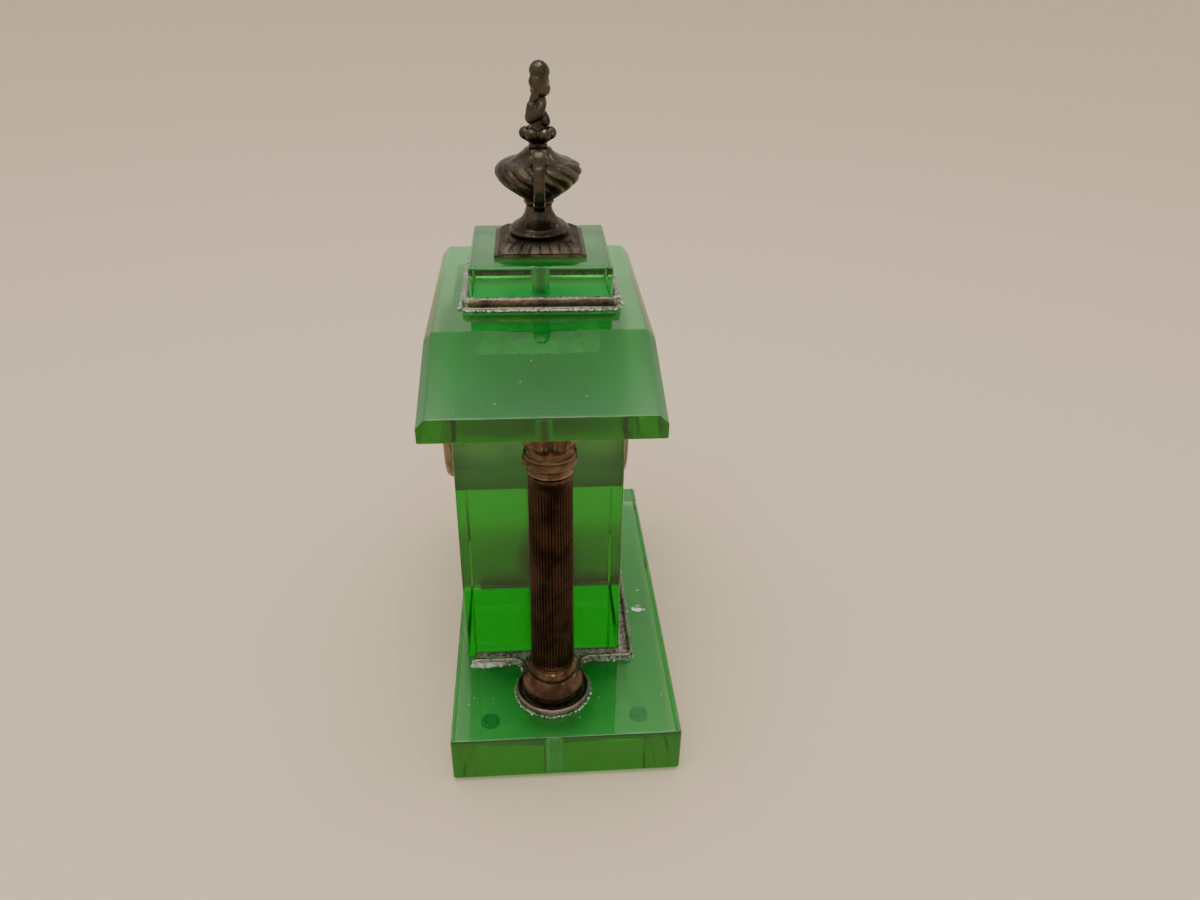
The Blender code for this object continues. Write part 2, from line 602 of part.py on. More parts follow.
def make_centre_train():
    """The arbor that carries the minute hand turns once an hour."""
    centre = arbor("centre_arbor", 0.0012, -0.0019, BACK_PLATE + 0.0012, CENTRE)
    combine(centre, toothed("cannon_pinion", CANNON_TIP, 12, 0.0009, 0.0049, CENTRE, STEEL), "UNION")
    combine(centre, toothed("centre_pinion", CENTRE_PINION_TIP, 8, 0.0110, 0.0215, CENTRE, STEEL), "UNION")
    windows = arms(0.0030, 0.0098, 4)
    toothed("centre_wheel", CENTRE_WHEEL_TIP, 40, 0.0010, 0.0115, CENTRE, BRASS, 0.0015, windows)
    nut = [(0, 0.0012), (0.0014, 0.0010), (0.0020, 0.0), (0, 0)]
    turned("hand_nut", nut, BRASS, in_movement(CENTRE, -0.0022), FACING_FRONT, 16)

    hour = toothed("hour_pipe", 0.0090, 32, 0.0008, 0.0035, CENTRE, BRASS, 0.0024)
    pipe = tube("hour_sleeve", 0.0029, 0.0020, 0.0040, BRASS, in_movement(CENTRE, 0.0036), FACING_FRONT, 16)
    combine(hour, pipe, "UNION")

    motion = toothed("minute_wheel", MINUTE_WHEEL_TIP, 36, 0.0008, 0.0049, MOTION, BRASS)
    combine(motion, toothed("minute_pinion", MINUTE_PINION_TIP, 8, 0.0018, 0.0040, MOTION, BRASS), "UNION")


def make_barrel():
    """The mainspring's drum turns on the winding arbor, whose square shows through the dial."""
    front, back, radius, wall = 0.0130, 0.0265, 0.0122, 0.0010
    depth = back - front
    bore = 0.0019
    drum = tube("barrel", radius, radius - wall, depth, BRASS, in_movement(BARREL, back), FACING_FRONT, 24)
    outlines = [gear(BARREL_TIP, 45), circle(bore, steps=12)]
    rim_place = in_movement(BARREL, back - 0.0007)
    combine(drum, plate("barrel_teeth", outlines, 0.0015, BRASS, rim_place, FACING_FRONT), "UNION")
    cover_place = in_movement(BARREL, front + 0.0009)
    tube("barrel_cover", radius - wall - GAP, bore, wall, BRASS, cover_place, FACING_FRONT, 24)
    make_mainspring(front + 0.0016, back - 0.0016, radius - wall - 0.0006)

    winding = arbor("winding_arbor", 0.0015, 0.0030, BACK_PLATE + 0.0012, BARREL)
    key_square = box("winding_square", (0.0024, 0.0046, 0.0024), in_movement(BARREL, 0.0012), STEEL)
    combine(winding, key_square, "UNION")


def make_mainspring(front, back, outer):
    """A flat steel strip wound round the barrel's arbor."""
    turns, inner, strip, per_turn = 5, 0.0034, 0.0003, 12
    count = turns * per_turn
    inside, outside = [], []
    for step in range(count + 1):
        radius = inner + (outer - inner) * step / count
        inside.append(polar(radius - strip, 360 * step / per_turn))
        outside.append(polar(radius, 360 * step / per_turn))
    outline = inside + outside[::-1]
    width = back - front
    plate("mainspring", [outline], width, STEEL, in_movement(BARREL, (front + back) / 2), FACING_FRONT)


def make_escapement():
    """Third wheel, escape wheel and balance, each on its own arbor between the plates."""
    first, last = FRONT_PLATE + 0.0006, BACK_PLATE + 0.0010
    third = arbor("third_wheel", 0.0008, first, last, THIRD)
    windows = arms(0.0022, 0.0078, 4)
    combine(third, toothed("third_rim", THIRD_TIP, 28, 0.0009, 0.0190, THIRD, BRASS, None, windows), "UNION")
    combine(third, toothed("third_pinion", THIRD_PINION_TIP, 8, 0.0034, 0.0115, THIRD, STEEL, None), "UNION")
    escape = arbor("escape_wheel", 0.0008, first, last, ESCAPE)
    combine(escape, toothed("escape_rim", ESCAPE_TIP, 15, 0.0008, 0.0240, ESCAPE, BRASS), "UNION")
    combine(escape, toothed("escape_pinion", ESCAPE_PINION_TIP, 7, 0.0040, 0.0190, ESCAPE, STEEL), "UNION")
    staff = arbor("balance", 0.0008, first, last, BALANCE)
    rim = [circle(0.0080, steps=32), *arms(0.0022, 0.0066, 2, 12)]
    wheel = plate("balance_rim", rim, 0.0014, BRASS, in_movement(BALANCE, 0.0280), FACING_FRONT)
    combine(staff, wheel, "UNION")


make_base()
make_body()
make_roof()
make_base_rail()
make_gallery()
make_column("right_column", COLUMN_X)
make_column("left_column", -COLUMN_X)
make_finial()
make_opening("front", BODY_FRONT, 0, 0.0020, 0.0040, glazed=True)
make_opening("back", BODY_BACK, math.pi, 0.0012, 0.0020, glazed=False)
make_drum()
make_dial()
make_hands()
make_plates()
make_centre_train()
make_barrel()
make_escapement()

for item in CLOCK.objects:
    item.data.shade_smooth()
    item.data.set_sharp_from_angle(angle=math.radians(35))
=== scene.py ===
import json
import math
import random

import bmesh
import bpy
from mathutils import Matrix, Vector, noise


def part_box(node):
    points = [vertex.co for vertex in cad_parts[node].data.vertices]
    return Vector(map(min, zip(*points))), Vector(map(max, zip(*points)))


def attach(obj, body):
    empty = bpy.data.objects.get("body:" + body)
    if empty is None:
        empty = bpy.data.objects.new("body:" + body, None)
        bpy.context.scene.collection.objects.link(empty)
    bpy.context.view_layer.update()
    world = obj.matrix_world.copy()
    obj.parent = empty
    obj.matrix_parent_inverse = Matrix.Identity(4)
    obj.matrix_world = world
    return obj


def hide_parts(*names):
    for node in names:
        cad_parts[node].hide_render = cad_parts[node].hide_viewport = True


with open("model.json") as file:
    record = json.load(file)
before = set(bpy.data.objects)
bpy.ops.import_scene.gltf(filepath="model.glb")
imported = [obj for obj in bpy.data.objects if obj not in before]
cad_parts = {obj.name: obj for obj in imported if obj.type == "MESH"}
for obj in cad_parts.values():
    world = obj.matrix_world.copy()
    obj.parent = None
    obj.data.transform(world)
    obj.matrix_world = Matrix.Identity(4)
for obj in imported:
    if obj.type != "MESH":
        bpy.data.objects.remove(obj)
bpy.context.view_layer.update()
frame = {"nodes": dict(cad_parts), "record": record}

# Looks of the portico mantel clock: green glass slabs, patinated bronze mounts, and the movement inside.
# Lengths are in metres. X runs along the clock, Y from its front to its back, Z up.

random.seed(11)

MM = 0.001
THROUGH = 10 * MM  # how far a drill's path runs past the glass
STUD_HOLE = 4.5 * MM  # radius of the hole for the finial's stud
ROOF_FLAT = 61.7 * MM  # half the length of the roof's level top
ROOF_END = 11.5 * MM  # height of the roof's end faces


def clamp(value):
    return min(max(value, 0.0), 1.0)


def in_mm(points):
    return [(first * MM, second * MM) for first, second in points]


# ---- places, all read from the frame


def middle(node):
    low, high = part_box(node)
    return (Vector(low) + Vector(high)) / 2


def extent(node):
    low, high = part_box(node)
    return Vector(high) - Vector(low)


def bottom(node):
    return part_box(node)[0][2]


def top(node):
    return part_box(node)[1][2]


CLOCK = middle("movement_drum")
CREST_Y = middle("top_block").y
COLUMN_Y = middle("right_column_shaft").y
COLUMN_X = middle("right_column_shaft").x
BASE_TOP = top("base_slab")
ROOF_TOP = top("roof_slab")


# ---- node materials


class Nodes:
    """A material with its Principled shader, and short names for the nodes that feed it."""

    def __init__(self, name):
        self.material = bpy.data.materials.new(name)
        self.material.use_nodes = True
        self.tree = self.material.node_tree
        self.shader = self.tree.nodes["Principled BSDF"]
        self.output = self.tree.nodes["Material Output"]
        self.place = self.tree.nodes.new("ShaderNodeTexCoord").outputs["Object"]

    def link(self, source, target):
        self.tree.links.new(source, target)

    def feed(self, socket, value):
        """Links a socket to its input, or sets a plain number or colour on it."""
        if isinstance(value, bpy.types.NodeSocket):
            self.link(value, socket)
        elif isinstance(value, tuple) and len(value) == 3 and socket.type == "RGBA":
            socket.default_value = (*value, 1.0)
        else:
            socket.default_value = value

    def set(self, **values):
        for name, value in values.items():
            self.feed(self.shader.inputs[name.replace("_", " ")], value)

    def noise(self, size, detail=3.0, rough=0.55, stretch=(1, 1, 1)):
        """Noise whose features are about size metres wide, from 0 to 1."""
        made = self.tree.nodes.new("ShaderNodeTexNoise")
        made.inputs["Scale"].default_value = 1.0 / size
        made.inputs["Detail"].default_value = detail
        made.inputs["Roughness"].default_value = rough
        place = self.place
        if stretch != (1, 1, 1):
            scaled = self.tree.nodes.new("ShaderNodeMapping")
            scaled.inputs["Scale"].default_value = stretch
            self.link(place, scaled.inputs["Vector"])
            place = scaled.outputs["Vector"]
        self.link(place, made.inputs["Vector"])
        return made.outputs["Fac"]

    def ramp(self, value, low, high, from_value=0.0, to_value=1.0):
        made = self.tree.nodes.new("ShaderNodeMapRange")
        made.interpolation_type = "SMOOTHSTEP"
        self.feed(made.inputs["Value"], value)
        names = ("From Min", "From Max", "To Min", "To Max")
        for name, number in zip(names, (low, high, from_value, to_value)):
            made.inputs[name].default_value = number
        return made.outputs["Result"]

    def math(self, operation, first, second):
        made = self.tree.nodes.new("ShaderNodeMath")
        made.operation = operation
        self.feed(made.inputs[0], first)
        self.feed(made.inputs[1], second)
        return made.outputs[0]

    def mix(self, share, first, second):
        """A blend of two colours."""
        made = self.tree.nodes.new("ShaderNodeMix")
        made.data_type = "RGBA"
        self.feed(made.inputs["Factor"], share)
        self.feed(made.inputs["A"], first)
        self.feed(made.inputs["B"], second)
        return next(out for out in made.outputs if out.type == "RGBA")

    def edges(self, low, high):
        """1 on convex edges and 0 in hollows."""
        made = self.tree.nodes.new("ShaderNodeNewGeometry")
        return self.ramp(made.outputs["Pointiness"], low, high)

    def attribute(self, name):
        made = self.tree.nodes.new("ShaderNodeAttribute")
        made.attribute_name = name
        return made.outputs["Fac"]

    def bump(self, height, depth, strength):
        made = self.tree.nodes.new("ShaderNodeBump")
        made.inputs["Distance"].default_value = depth
        made.inputs["Strength"].default_value = strength
        self.link(height, made.inputs["Height"])
        self.link(made.outputs["Normal"], self.shader.inputs["Normal"])


GREEN_LOSS = (44.0, 6.0, 30.0)  # how strongly the glass absorbs red, green and blue light, per metre


def absorb(nodes, loss):
    """Tints the solid by the length of glass that light crosses."""
    density = max(loss) + 1.0
    volume = nodes.tree.nodes.new("ShaderNodeVolumeAbsorption")
    volume.inputs["Density"].default_value = density
    volume.inputs["Color"].default_value = (*(1 - share / density for share in loss), 1.0)
    nodes.link(volume.outputs["Volume"], nodes.output.inputs["Volume"])


def green_glass():
    """Cast glass, polished by hand. Ground faces are matt, and turn glossy where they are seen at a slant."""
    nodes = Nodes("cast_green_glass")
    slant = nodes.tree.nodes.new("ShaderNodeLayerWeight").outputs["Facing"]
    head_on = nodes.ramp(slant, 0.30, 0.60, 1.0, 0.10)
    matt = nodes.math("MINIMUM", nodes.math("MULTIPLY", nodes.attribute("ground"), head_on), 1.0)
    nodes.set(IOR=1.51, Transmission_Weight=nodes.ramp(matt, 0.0, 1.0, 1.0, 0.70))
    nodes.set(Base_Color=nodes.mix(matt, (1.0, 1.0, 1.0), (0.92, 0.98, 0.86)))
    smears = nodes.ramp(nodes.noise(9 * MM, 5.0, 0.65, (1, 1, 0.3)), 0.52, 0.75, 0.0, 0.035)
    grit = nodes.ramp(nodes.noise(0.6 * MM, 2.0), 0.2, 0.8, 0.34, 0.60)
    nodes.set(Roughness=nodes.math("ADD", smears, nodes.math("MULTIPLY", matt, grit)))
    nodes.bump(nodes.noise(22 * MM, 0.0), 0.20 * MM, 0.20)
    absorb(nodes, GREEN_LOSS)
    return nodes.material


def clear_glass():
    nodes = Nodes("clear_pane")
    smear = nodes.noise(6 * MM, 2.0)
    nodes.set(Transmission_Weight=1.0, IOR=1.5, Roughness=0.02)
    nodes.set(Base_Color=nodes.mix(nodes.ramp(smear, 0.3, 0.7), (0.97, 0.98, 0.97), (1.0, 1.0, 1.0)))
    nodes.bump(smear, 0.1 * MM, 0.15)
    return nodes.material


def rubber():
    nodes = Nodes("soft_clear_rubber")
    haze = nodes.noise(1.5 * MM, 2.0)
    nodes.set(Transmission_Weight=0.7, IOR=1.45, Roughness=nodes.ramp(haze, 0.2, 0.8, 0.25, 0.5))
    nodes.set(Base_Color=nodes.mix(haze, (0.72, 0.76, 0.70), (0.86, 0.88, 0.84)))
    return nodes.material


def bronze(name, dark, warm, bright, rough, wear_and_highlight=(0.505, 0.56), crust=0.0):
    """Dark patina that thins to bare metal on the edges, where the bright colour is also a painted highlight,
    with pale corrosion where there is crust.
    """
    nodes = Nodes(name)
    broad = nodes.noise(9 * MM, 4.0)
    fine = nodes.noise(0.7 * MM, 3.0)
    # Convex edges take the bright colour: rubbed bare metal, and a painted highlight as well.
    worn_and_highlit = nodes.math("MULTIPLY", nodes.edges(*wear_and_highlight), nodes.ramp(broad, 0.32, 0.60, 0.25, 1.0))
    colour = nodes.mix(nodes.ramp(broad, 0.35, 0.65), dark, warm)
    colour = nodes.mix(nodes.ramp(fine, 0.45, 0.75, 0.0, 0.35), colour, dark)
    colour = nodes.mix(worn_and_highlit, colour, bright)
    roughness = nodes.ramp(fine, 0.25, 0.75, *rough)
    metal = 1.0
    if crust:
        patches = nodes.ramp(nodes.noise(1.6 * MM, 5.0, 0.7), 0.62 - crust, 0.72 - crust)
        grown = nodes.math("MULTIPLY", nodes.attribute("crust"), patches)
        drift = nodes.ramp(nodes.noise(2.5 * MM, 3.0), 0.35, 0.65)
        pale = nodes.mix(drift, (0.50, 0.52, 0.48), (0.30, 0.44, 0.38))
        pale = nodes.mix(nodes.ramp(fine, 0.55, 0.75), pale, (0.78, 0.80, 0.76))
        colour = nodes.mix(grown, colour, pale)
        metal = nodes.ramp(grown, 0.2, 0.8, 1.0, 0.0)
        roughness = nodes.math("MAXIMUM", roughness, nodes.math("MULTIPLY", grown, 0.85))
    nodes.set(Base_Color=colour, Roughness=roughness, Metallic=metal)
    nodes.bump(nodes.math("ADD", fine, nodes.math("MULTIPLY", broad, 0.6)), 0.12 * MM, 0.5)
    return nodes.material


def turned_metal(name, colour, shade, rough=(0.18, 0.34)):
    """Machined metal with fine tool marks that run across the clock."""
    nodes = Nodes(name)
    marks = nodes.noise(0.25 * MM, 2.0, 0.6, (1, 0.05, 1))
    stain = nodes.noise(7 * MM, 4.0)
    tone = nodes.mix(nodes.ramp(stain, 0.35, 0.75), colour, shade)
    nodes.set(Base_Color=nodes.mix(nodes.ramp(marks, 0.3, 0.7, 0.0, 0.3), tone, shade))
    nodes.set(Metallic=1.0, Roughness=nodes.ramp(marks, 0.2, 0.8, *rough))
    nodes.bump(marks, 0.03 * MM, 0.4)
    return nodes.material


def blued_steel():
    nodes = Nodes("heat_blued_steel")
    drift = nodes.noise(5 * MM, 2.0)
    nodes.set(Base_Color=nodes.mix(drift, (0.010, 0.020, 0.100), (0.030, 0.060, 0.200)))
    nodes.set(Metallic=0.9, Roughness=nodes.ramp(nodes.noise(0.8 * MM), 0.2, 0.8, 0.16, 0.30))
    return nodes.material


def enamel():
    nodes = Nodes("fired_enamel")
    cloud = nodes.noise(8 * MM, 3.0)
    nodes.set(Base_Color=nodes.mix(cloud, (0.84, 0.81, 0.73), (0.90, 0.88, 0.82)))
    nodes.set(Roughness=nodes.ramp(cloud, 0.2, 0.8, 0.10, 0.20), Coat_Weight=0.6)
    nodes.bump(nodes.noise(3 * MM, 2.0), 0.1 * MM, 0.2)
    return nodes.material


def dial_paint():
    nodes = Nodes("black_dial_paint")
    tone = nodes.mix(nodes.noise(2 * MM), (0.008, 0.008, 0.010), (0.025, 0.022, 0.020))
    nodes.set(Base_Color=tone, Roughness=0.35)
    return nodes.material


def cement():
    """A thin film that has crazed and gone milky between the ground faces."""
    nodes = Nodes("old_cement")
    patches = nodes.noise(7 * MM, 5.0, 0.65)
    specks = nodes.noise(0.8 * MM, 3.0, 0.7)
    colour = nodes.mix(nodes.ramp(patches, 0.35, 0.65), (0.60, 0.66, 0.53), (0.78, 0.83, 0.70))
    nodes.set(Base_Color=nodes.mix(nodes.ramp(specks, 0.55, 0.75), colour, (0.86, 0.89, 0.82)))
    nodes.set(Roughness=nodes.ramp(specks, 0.2, 0.8, 0.6, 0.9), Transmission_Weight=0.25, IOR=1.3)
    nodes.bump(specks, 0.1 * MM, 0.6)
    return nodes.material


def corrosion():
    """Loose verdigris along the edges of the mouldings."""
    nodes = Nodes("verdigris")
    tone = nodes.noise(2.2 * MM, 4.0, 0.6)
    colour = nodes.mix(nodes.ramp(tone, 0.35, 0.6), (0.34, 0.33, 0.28), (0.55, 0.63, 0.60))
    nodes.set(Base_Color=nodes.mix(nodes.ramp(tone, 0.58, 0.7), colour, (0.80, 0.82, 0.80)), Roughness=0.9)
    nodes.bump(nodes.noise(0.4 * MM, 3.0), 0.2 * MM, 0.8)
    return nodes.material


GLASS = green_glass()
PANE = clear_glass()
RUBBER = rubber()
SATIN = bronze(
    "satin_bronze",
    dark=(0.042, 0.036, 0.028),
    warm=(0.090, 0.077, 0.058),
    bright=(0.27, 0.215, 0.155),
    rough=(0.30, 0.46),
    wear_and_highlight=(0.51, 0.60),
)
COPPERY = bronze(
    "coppery_bronze",
    dark=(0.055, 0.033, 0.021),
    warm=(0.150, 0.088, 0.055),
    bright=(0.38, 0.25, 0.16),
    rough=(0.24, 0.40),
    wear_and_highlight=(0.51, 0.58),
)
SHAFT = bronze(
    "dark_fluted_bronze",
    dark=(0.010, 0.006, 0.004),
    warm=(0.034, 0.018, 0.011),
    bright=(0.10, 0.055, 0.032),
    rough=(0.34, 0.50),
)
CRUSTED = bronze(
    "crusted_bronze",
    dark=(0.065, 0.046, 0.035),
    warm=(0.155, 0.108, 0.078),
    bright=(0.36, 0.255, 0.185),
    rough=(0.34, 0.56),
    crust=0.20,
)
# Satin bronze made glossier, with a brighter edge colour that paints a highlight on the handles.
HANDLE = bronze(
    "glossy_highlit_bronze",
    dark=(0.040, 0.033, 0.025),
    warm=(0.085, 0.070, 0.051),
    bright=(0.30, 0.235, 0.165),
    rough=(0.22, 0.36),
    wear_and_highlight=(0.52, 0.62),
)
BRASS = turned_metal("lacquered_brass", (0.66, 0.47, 0.20), (0.34, 0.22, 0.09))
STEEL = turned_metal("grey_steel", (0.42, 0.42, 0.43), (0.20, 0.20, 0.21), (0.25, 0.45))
ZINC = turned_metal("pale_zinc_rod", (0.80, 0.80, 0.74), (0.62, 0.62, 0.56), (0.45, 0.65))
BLUED = blued_steel()
ENAMEL = enamel()
PAINT = dial_paint()
CEMENT = cement()
CORROSION = corrosion()

BY_SLOT = {
    "green_glass": GLASS,
    "clear_glass": PANE,
    "clear_rubber": RUBBER,
    "patinated_bronze": SATIN,
    "verdigris_bronze": CRUSTED,
    "brass": BRASS,
    "steel": STEEL,
    "blued_steel": BLUED,
    "enamel": ENAMEL,
    "cement": CEMENT,
}

BY_NODE = {"left_column_bolt": ZINC, "right_column_bolt": ZINC}


def dress_frame():
    """Gives every CAD node the finish of its slot, or its own where it has one."""
    for entry in frame["record"]["subparts"]:
        node = frame["nodes"][entry["node"]]
        node.data.materials.clear()
        node.data.materials.append(BY_NODE.get(entry["node"]) or BY_SLOT[entry["material_slot"]])


# ---- mesh building


def keep(name, work, material, body="case", instead=(), sharp=38):
    """Turns a bmesh into a finished piece that rides on a body."""
    bmesh.ops.recalc_face_normals(work, faces=work.faces)
    mesh = bpy.data.meshes.new(name)
    work.to_mesh(mesh)
    work.free()
    return keep_mesh(name, mesh, material, body, instead, sharp)


def keep_mesh(name, mesh, material, body="case", instead=(), sharp=38):
    mesh.materials.clear()
    mesh.materials.append(material)
    mesh.shade_smooth()
    mesh.set_sharp_from_angle(angle=math.radians(sharp))
    piece = bpy.data.objects.new(name, mesh)
    bpy.context.scene.collection.objects.link(piece)
    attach(piece, body)
    if instead:
        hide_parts(*instead)
    return piece


def settled(piece):
    """The piece's mesh with its modifiers applied. The piece itself is removed."""
    graph = bpy.context.evaluated_depsgraph_get()
    mesh = bpy.data.meshes.new_from_object(piece.evaluated_get(graph))
    bpy.data.objects.remove(piece, do_unlink=True)
    return mesh


def loose(name, work):
    """A helper object that isn't a piece yet."""
    mesh = bpy.data.meshes.new(name)
    work.to_mesh(mesh)
    work.free()
    helper = bpy.data.objects.new(name, mesh)
    bpy.context.scene.collection.objects.link(helper)
    return helper


def skin(rings, loop=False, work=None):
    """Quads between closed rings of equal length, with flat caps unless the last ring joins the first."""
    work = work or bmesh.new()
    rows = [[work.verts.new(point) for point in ring] for ring in rings]
    pairs = list(zip(rows, rows[1:])) + ([(rows[-1], rows[0])] if loop else [])
    for lower, upper in pairs:
        for i in range(len(lower)):
            j = (i + 1) % len(lower)
            work.faces.new((lower[i], lower[j], upper[j], upper[i]))
    if not loop:
        work.faces.new(list(reversed(rows[0])))
        work.faces.new(rows[-1])
    return work


def soften(points, rounds=2):
    """Rounds the corners of an open profile by cutting them, and keeps its ends."""
    for _ in range(rounds):
        cut = [points[0]]
        for first, second in zip(points, points[1:]):
            cut.append(tuple(a + 0.25 * (b - a) for a, b in zip(first, second)))
            cut.append(tuple(a + 0.75 * (b - a) for a, b in zip(first, second)))
        points = cut + [points[-1]]
    return points


def turn_rings(profile, steps, centre, low, shape=None):
    """Rings of a turned piece about Z. shape(turn, height, radius) may change a point's radius."""
    rings = []
    for radius, height in profile:
        ring = []
        for step in range(steps):
            turn = 2 * math.pi * step / steps
            reach = max(shape(turn, height, radius) if shape else radius, 0.02 * MM)
            x, y = centre[0] + reach * math.cos(turn), centre[1] + reach * math.sin(turn)
            ring.append(Vector((x, y, low + height)))
        rings.append(ring)
    return rings


def turned(name, profile, steps, centre, low, material, node, shape=None, rounds=2):
    """A turned bronze piece from its lowest point up its outer side to its top."""
    rings = turn_rings(soften(in_mm(profile), rounds), steps, centre, low, shape)
    return keep(name, skin(rings), material, instead=(node,))


def arc(centre, radius, start, end, steps):
    """Points from one angle to another in degrees, both included."""
    turns = [math.radians(start + (end - start) * step / steps) for step in range(steps + 1)]
    return [(centre[0] + radius * math.cos(turn), centre[1] + radius * math.sin(turn)) for turn in turns]


def rounded_rectangle(length, depth, radius, corner=8, side=22):
    """Closed outline with evenly spaced points along its sides as well as round its corners."""
    x, y = length / 2 - radius, depth / 2 - radius
    points = []
    for (cx, cy), start in (((x, y), 0), ((-x, y), 90), ((-x, -y), 180), ((x, -y), 270)):
        bend = arc((cx, cy), radius, start, start + 90, corner)
        if points:
            points += between(points[-1], bend[0], side)
        points += bend
    return points + between(points[-1], points[0], side)


def between(first, second, count):
    """Points strictly between two others."""
    return [tuple(a + (b - a) * i / count for a, b in zip(first, second)) for i in range(1, count)]


def paint(mesh, name, value):
    """Stores value(point) on each point of the mesh, for a material to read."""
    layer = mesh.attributes.new(name, "FLOAT", "POINT")
    layer.data.foreach_set("value", [value(vertex.co) for vertex in mesh.vertices])


def ruffle(mesh, depth, size, value=None):
    """Pushes points in and out along their normals by seeded noise."""
    moved = []
    for vertex in mesh.vertices:
        share = value(vertex.co) if value else 1.0
        moved.append(vertex.co + vertex.normal * depth * share * noise.noise(vertex.co / size))
    for vertex, place in zip(mesh.vertices, moved):
        vertex.co = place


def ball(work, place, radius, detail=2):
    """Adds a faceted ball to the mesh and returns its points."""
    spot = Matrix.Translation(place)
    return bmesh.ops.create_icosphere(work, subdivisions=detail, radius=radius, matrix=spot)["verts"]


# ---- glass


FINE = 0.8  # a finely ground face, which turns glossy at a slant
DRILLED = 8.0  # coarse enough to stay matt at any slant


def rod_between(start, end, radius, steps=72):
    """A cylinder as a cutter."""
    axis = (end - start).normalized()
    side = axis.orthogonal().normalized()
    other = axis.cross(side)
    turns = [2 * math.pi * step / steps for step in range(steps)]
    spokes = [radius * (math.cos(turn) * side + math.sin(turn) * other) for turn in turns]
    work = skin([[place + spoke for spoke in spokes] for place in (start, end)])
    bmesh.ops.recalc_face_normals(work, faces=work.faces)
    return loose("cutter", work)


def block(low, high):
    work = bmesh.new()
    bmesh.ops.create_cube(work, size=1.0)
    low, high = Vector(low), Vector(high)
    shape = Matrix.Translation((low + high) / 2) @ Matrix.Diagonal((*(high - low), 1))
    bmesh.ops.transform(work, matrix=shape, verts=work.verts)
    return work


def sharp_edges(work, degrees=20):
    least = math.radians(degrees)
    return [edge for edge in work.edges if len(edge.link_faces) == 2 and edge.calc_face_angle() > least]


def ease(work, edges, width, steps):
    """Takes the sharpness off edges with a bevel."""
    bmesh.ops.bevel(
        work,
        geom=edges,
        offset=width,
        offset_type="OFFSET",
        segments=steps,
        profile=0.5,
        affect="EDGES",
        clamp_overlap=True,
    )


def add_bubble(work, place, radius):
    """A gas bubble: a small closed hollow whose faces look into the hollow."""
    faces = {face for vertex in ball(work, place, radius) for face in vertex.link_faces}
    bmesh.ops.reverse_faces(work, faces=list(faces))


def glass_piece(name, work, node, holes, bubbles=(), matt_side=None, matt=FINE):
    """Cuts the drilled holes from a slab, marks what is ground, and adds its bubbles."""
    slab = loose(name + "_raw", work)
    cutters = []
    for start, end, radius in holes:
        cutter = rod_between(start, end, radius)
        cutters.append(cutter)
        cut = slab.modifiers.new("drill", "BOOLEAN")
        cut.operation = "DIFFERENCE"
        cut.object = cutter
    mesh = settled(slab)
    for cutter in cutters:
        bpy.data.objects.remove(cutter, do_unlink=True)
    work = bmesh.new()
    work.from_mesh(mesh)
    bmesh.ops.recalc_face_normals(work, faces=work.faces)
    for place, radius in bubbles:
        add_bubble(work, place, radius)
    work.to_mesh(mesh)
    work.free()
    piece = keep_mesh(name, mesh, GLASS, instead=(node,), sharp=30)
    mark_ground(mesh, holes, matt_side, matt)
    flat = piece.modifiers.new("flat_faces", "WEIGHTED_NORMAL")
    flat.mode = "FACE_AREA"
    flat.weight = 100
    flat.keep_sharp = True
    return piece


def mark_ground(mesh, holes, matt_side, matt):
    """Writes how coarsely the drilled holes and the side that faces matt_side are ground. The rest is 0."""
    layer = mesh.attributes.new("ground", "FLOAT", "CORNER")
    for face in mesh.polygons:
        near = matt if matt_side and face.normal.dot(Vector(matt_side)) > 0.9 else 0.0
        for start, end, radius in holes:
            axis = (end - start).normalized()
            offset = face.center - start
            along = offset.dot(axis) * axis
            if (offset - along).length < radius + 0.1 * MM and abs(face.normal.dot(axis)) < 0.5:
                near = DRILLED
        for corner in face.loop_indices:
            layer.data[corner].value = near


def upright_hole(x, y, low, high, radius):
    return (Vector((x, y, low)), Vector((x, y, high)), radius)


def bubbles_at(*rows):
    """Bubbles from rows of x, y, z and radius in millimetres."""
    return [(Vector(row[:3]) * MM, row[3] * MM) for row in rows]


def make_base_glass():
    low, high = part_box("base_slab")
    work = block(low, high)
    ease(work, sharp_edges(work), 1.5 * MM, 3)
    ends = (low[2] - THROUGH, high[2] + THROUGH)
    holes = [upright_hole(side * COLUMN_X, COLUMN_Y, *ends, 5.0 * MM) for side in (-1, 1)]
    bubbles = bubbles_at(
        (98, -36, 20, 0.5), (94, 30, 12, 0.4), (66, 51, 18, 0.35), (-40, -46, 16, 0.5), (104, 12, 22, 0.3)
    )
    glass_piece("base_glass", work, "base_slab", holes, bubbles)


def make_body_glass():
    low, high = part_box("body_block")
    work = block(low, high)
    ease(work, sharp_edges(work), 1.3 * MM, 3)
    radius = extent("movement_drum").x / 2 + 0.4 * MM
    bore = (Vector((0, low[1] - THROUGH, CLOCK.z)), Vector((0, high[1] + THROUGH, CLOCK.z)), radius)
    bubbles = bubbles_at(
        (46, -20, 60, 0.35), (40, 16, 80, 0.3), (30, -34, 100, 0.4), (-35, 10, 70, 0.4), (49, 22, 46, 0.3)
    )
    glass_piece("body_glass", work, "body_block", [bore], bubbles, matt_side=(-1, 0, 0))


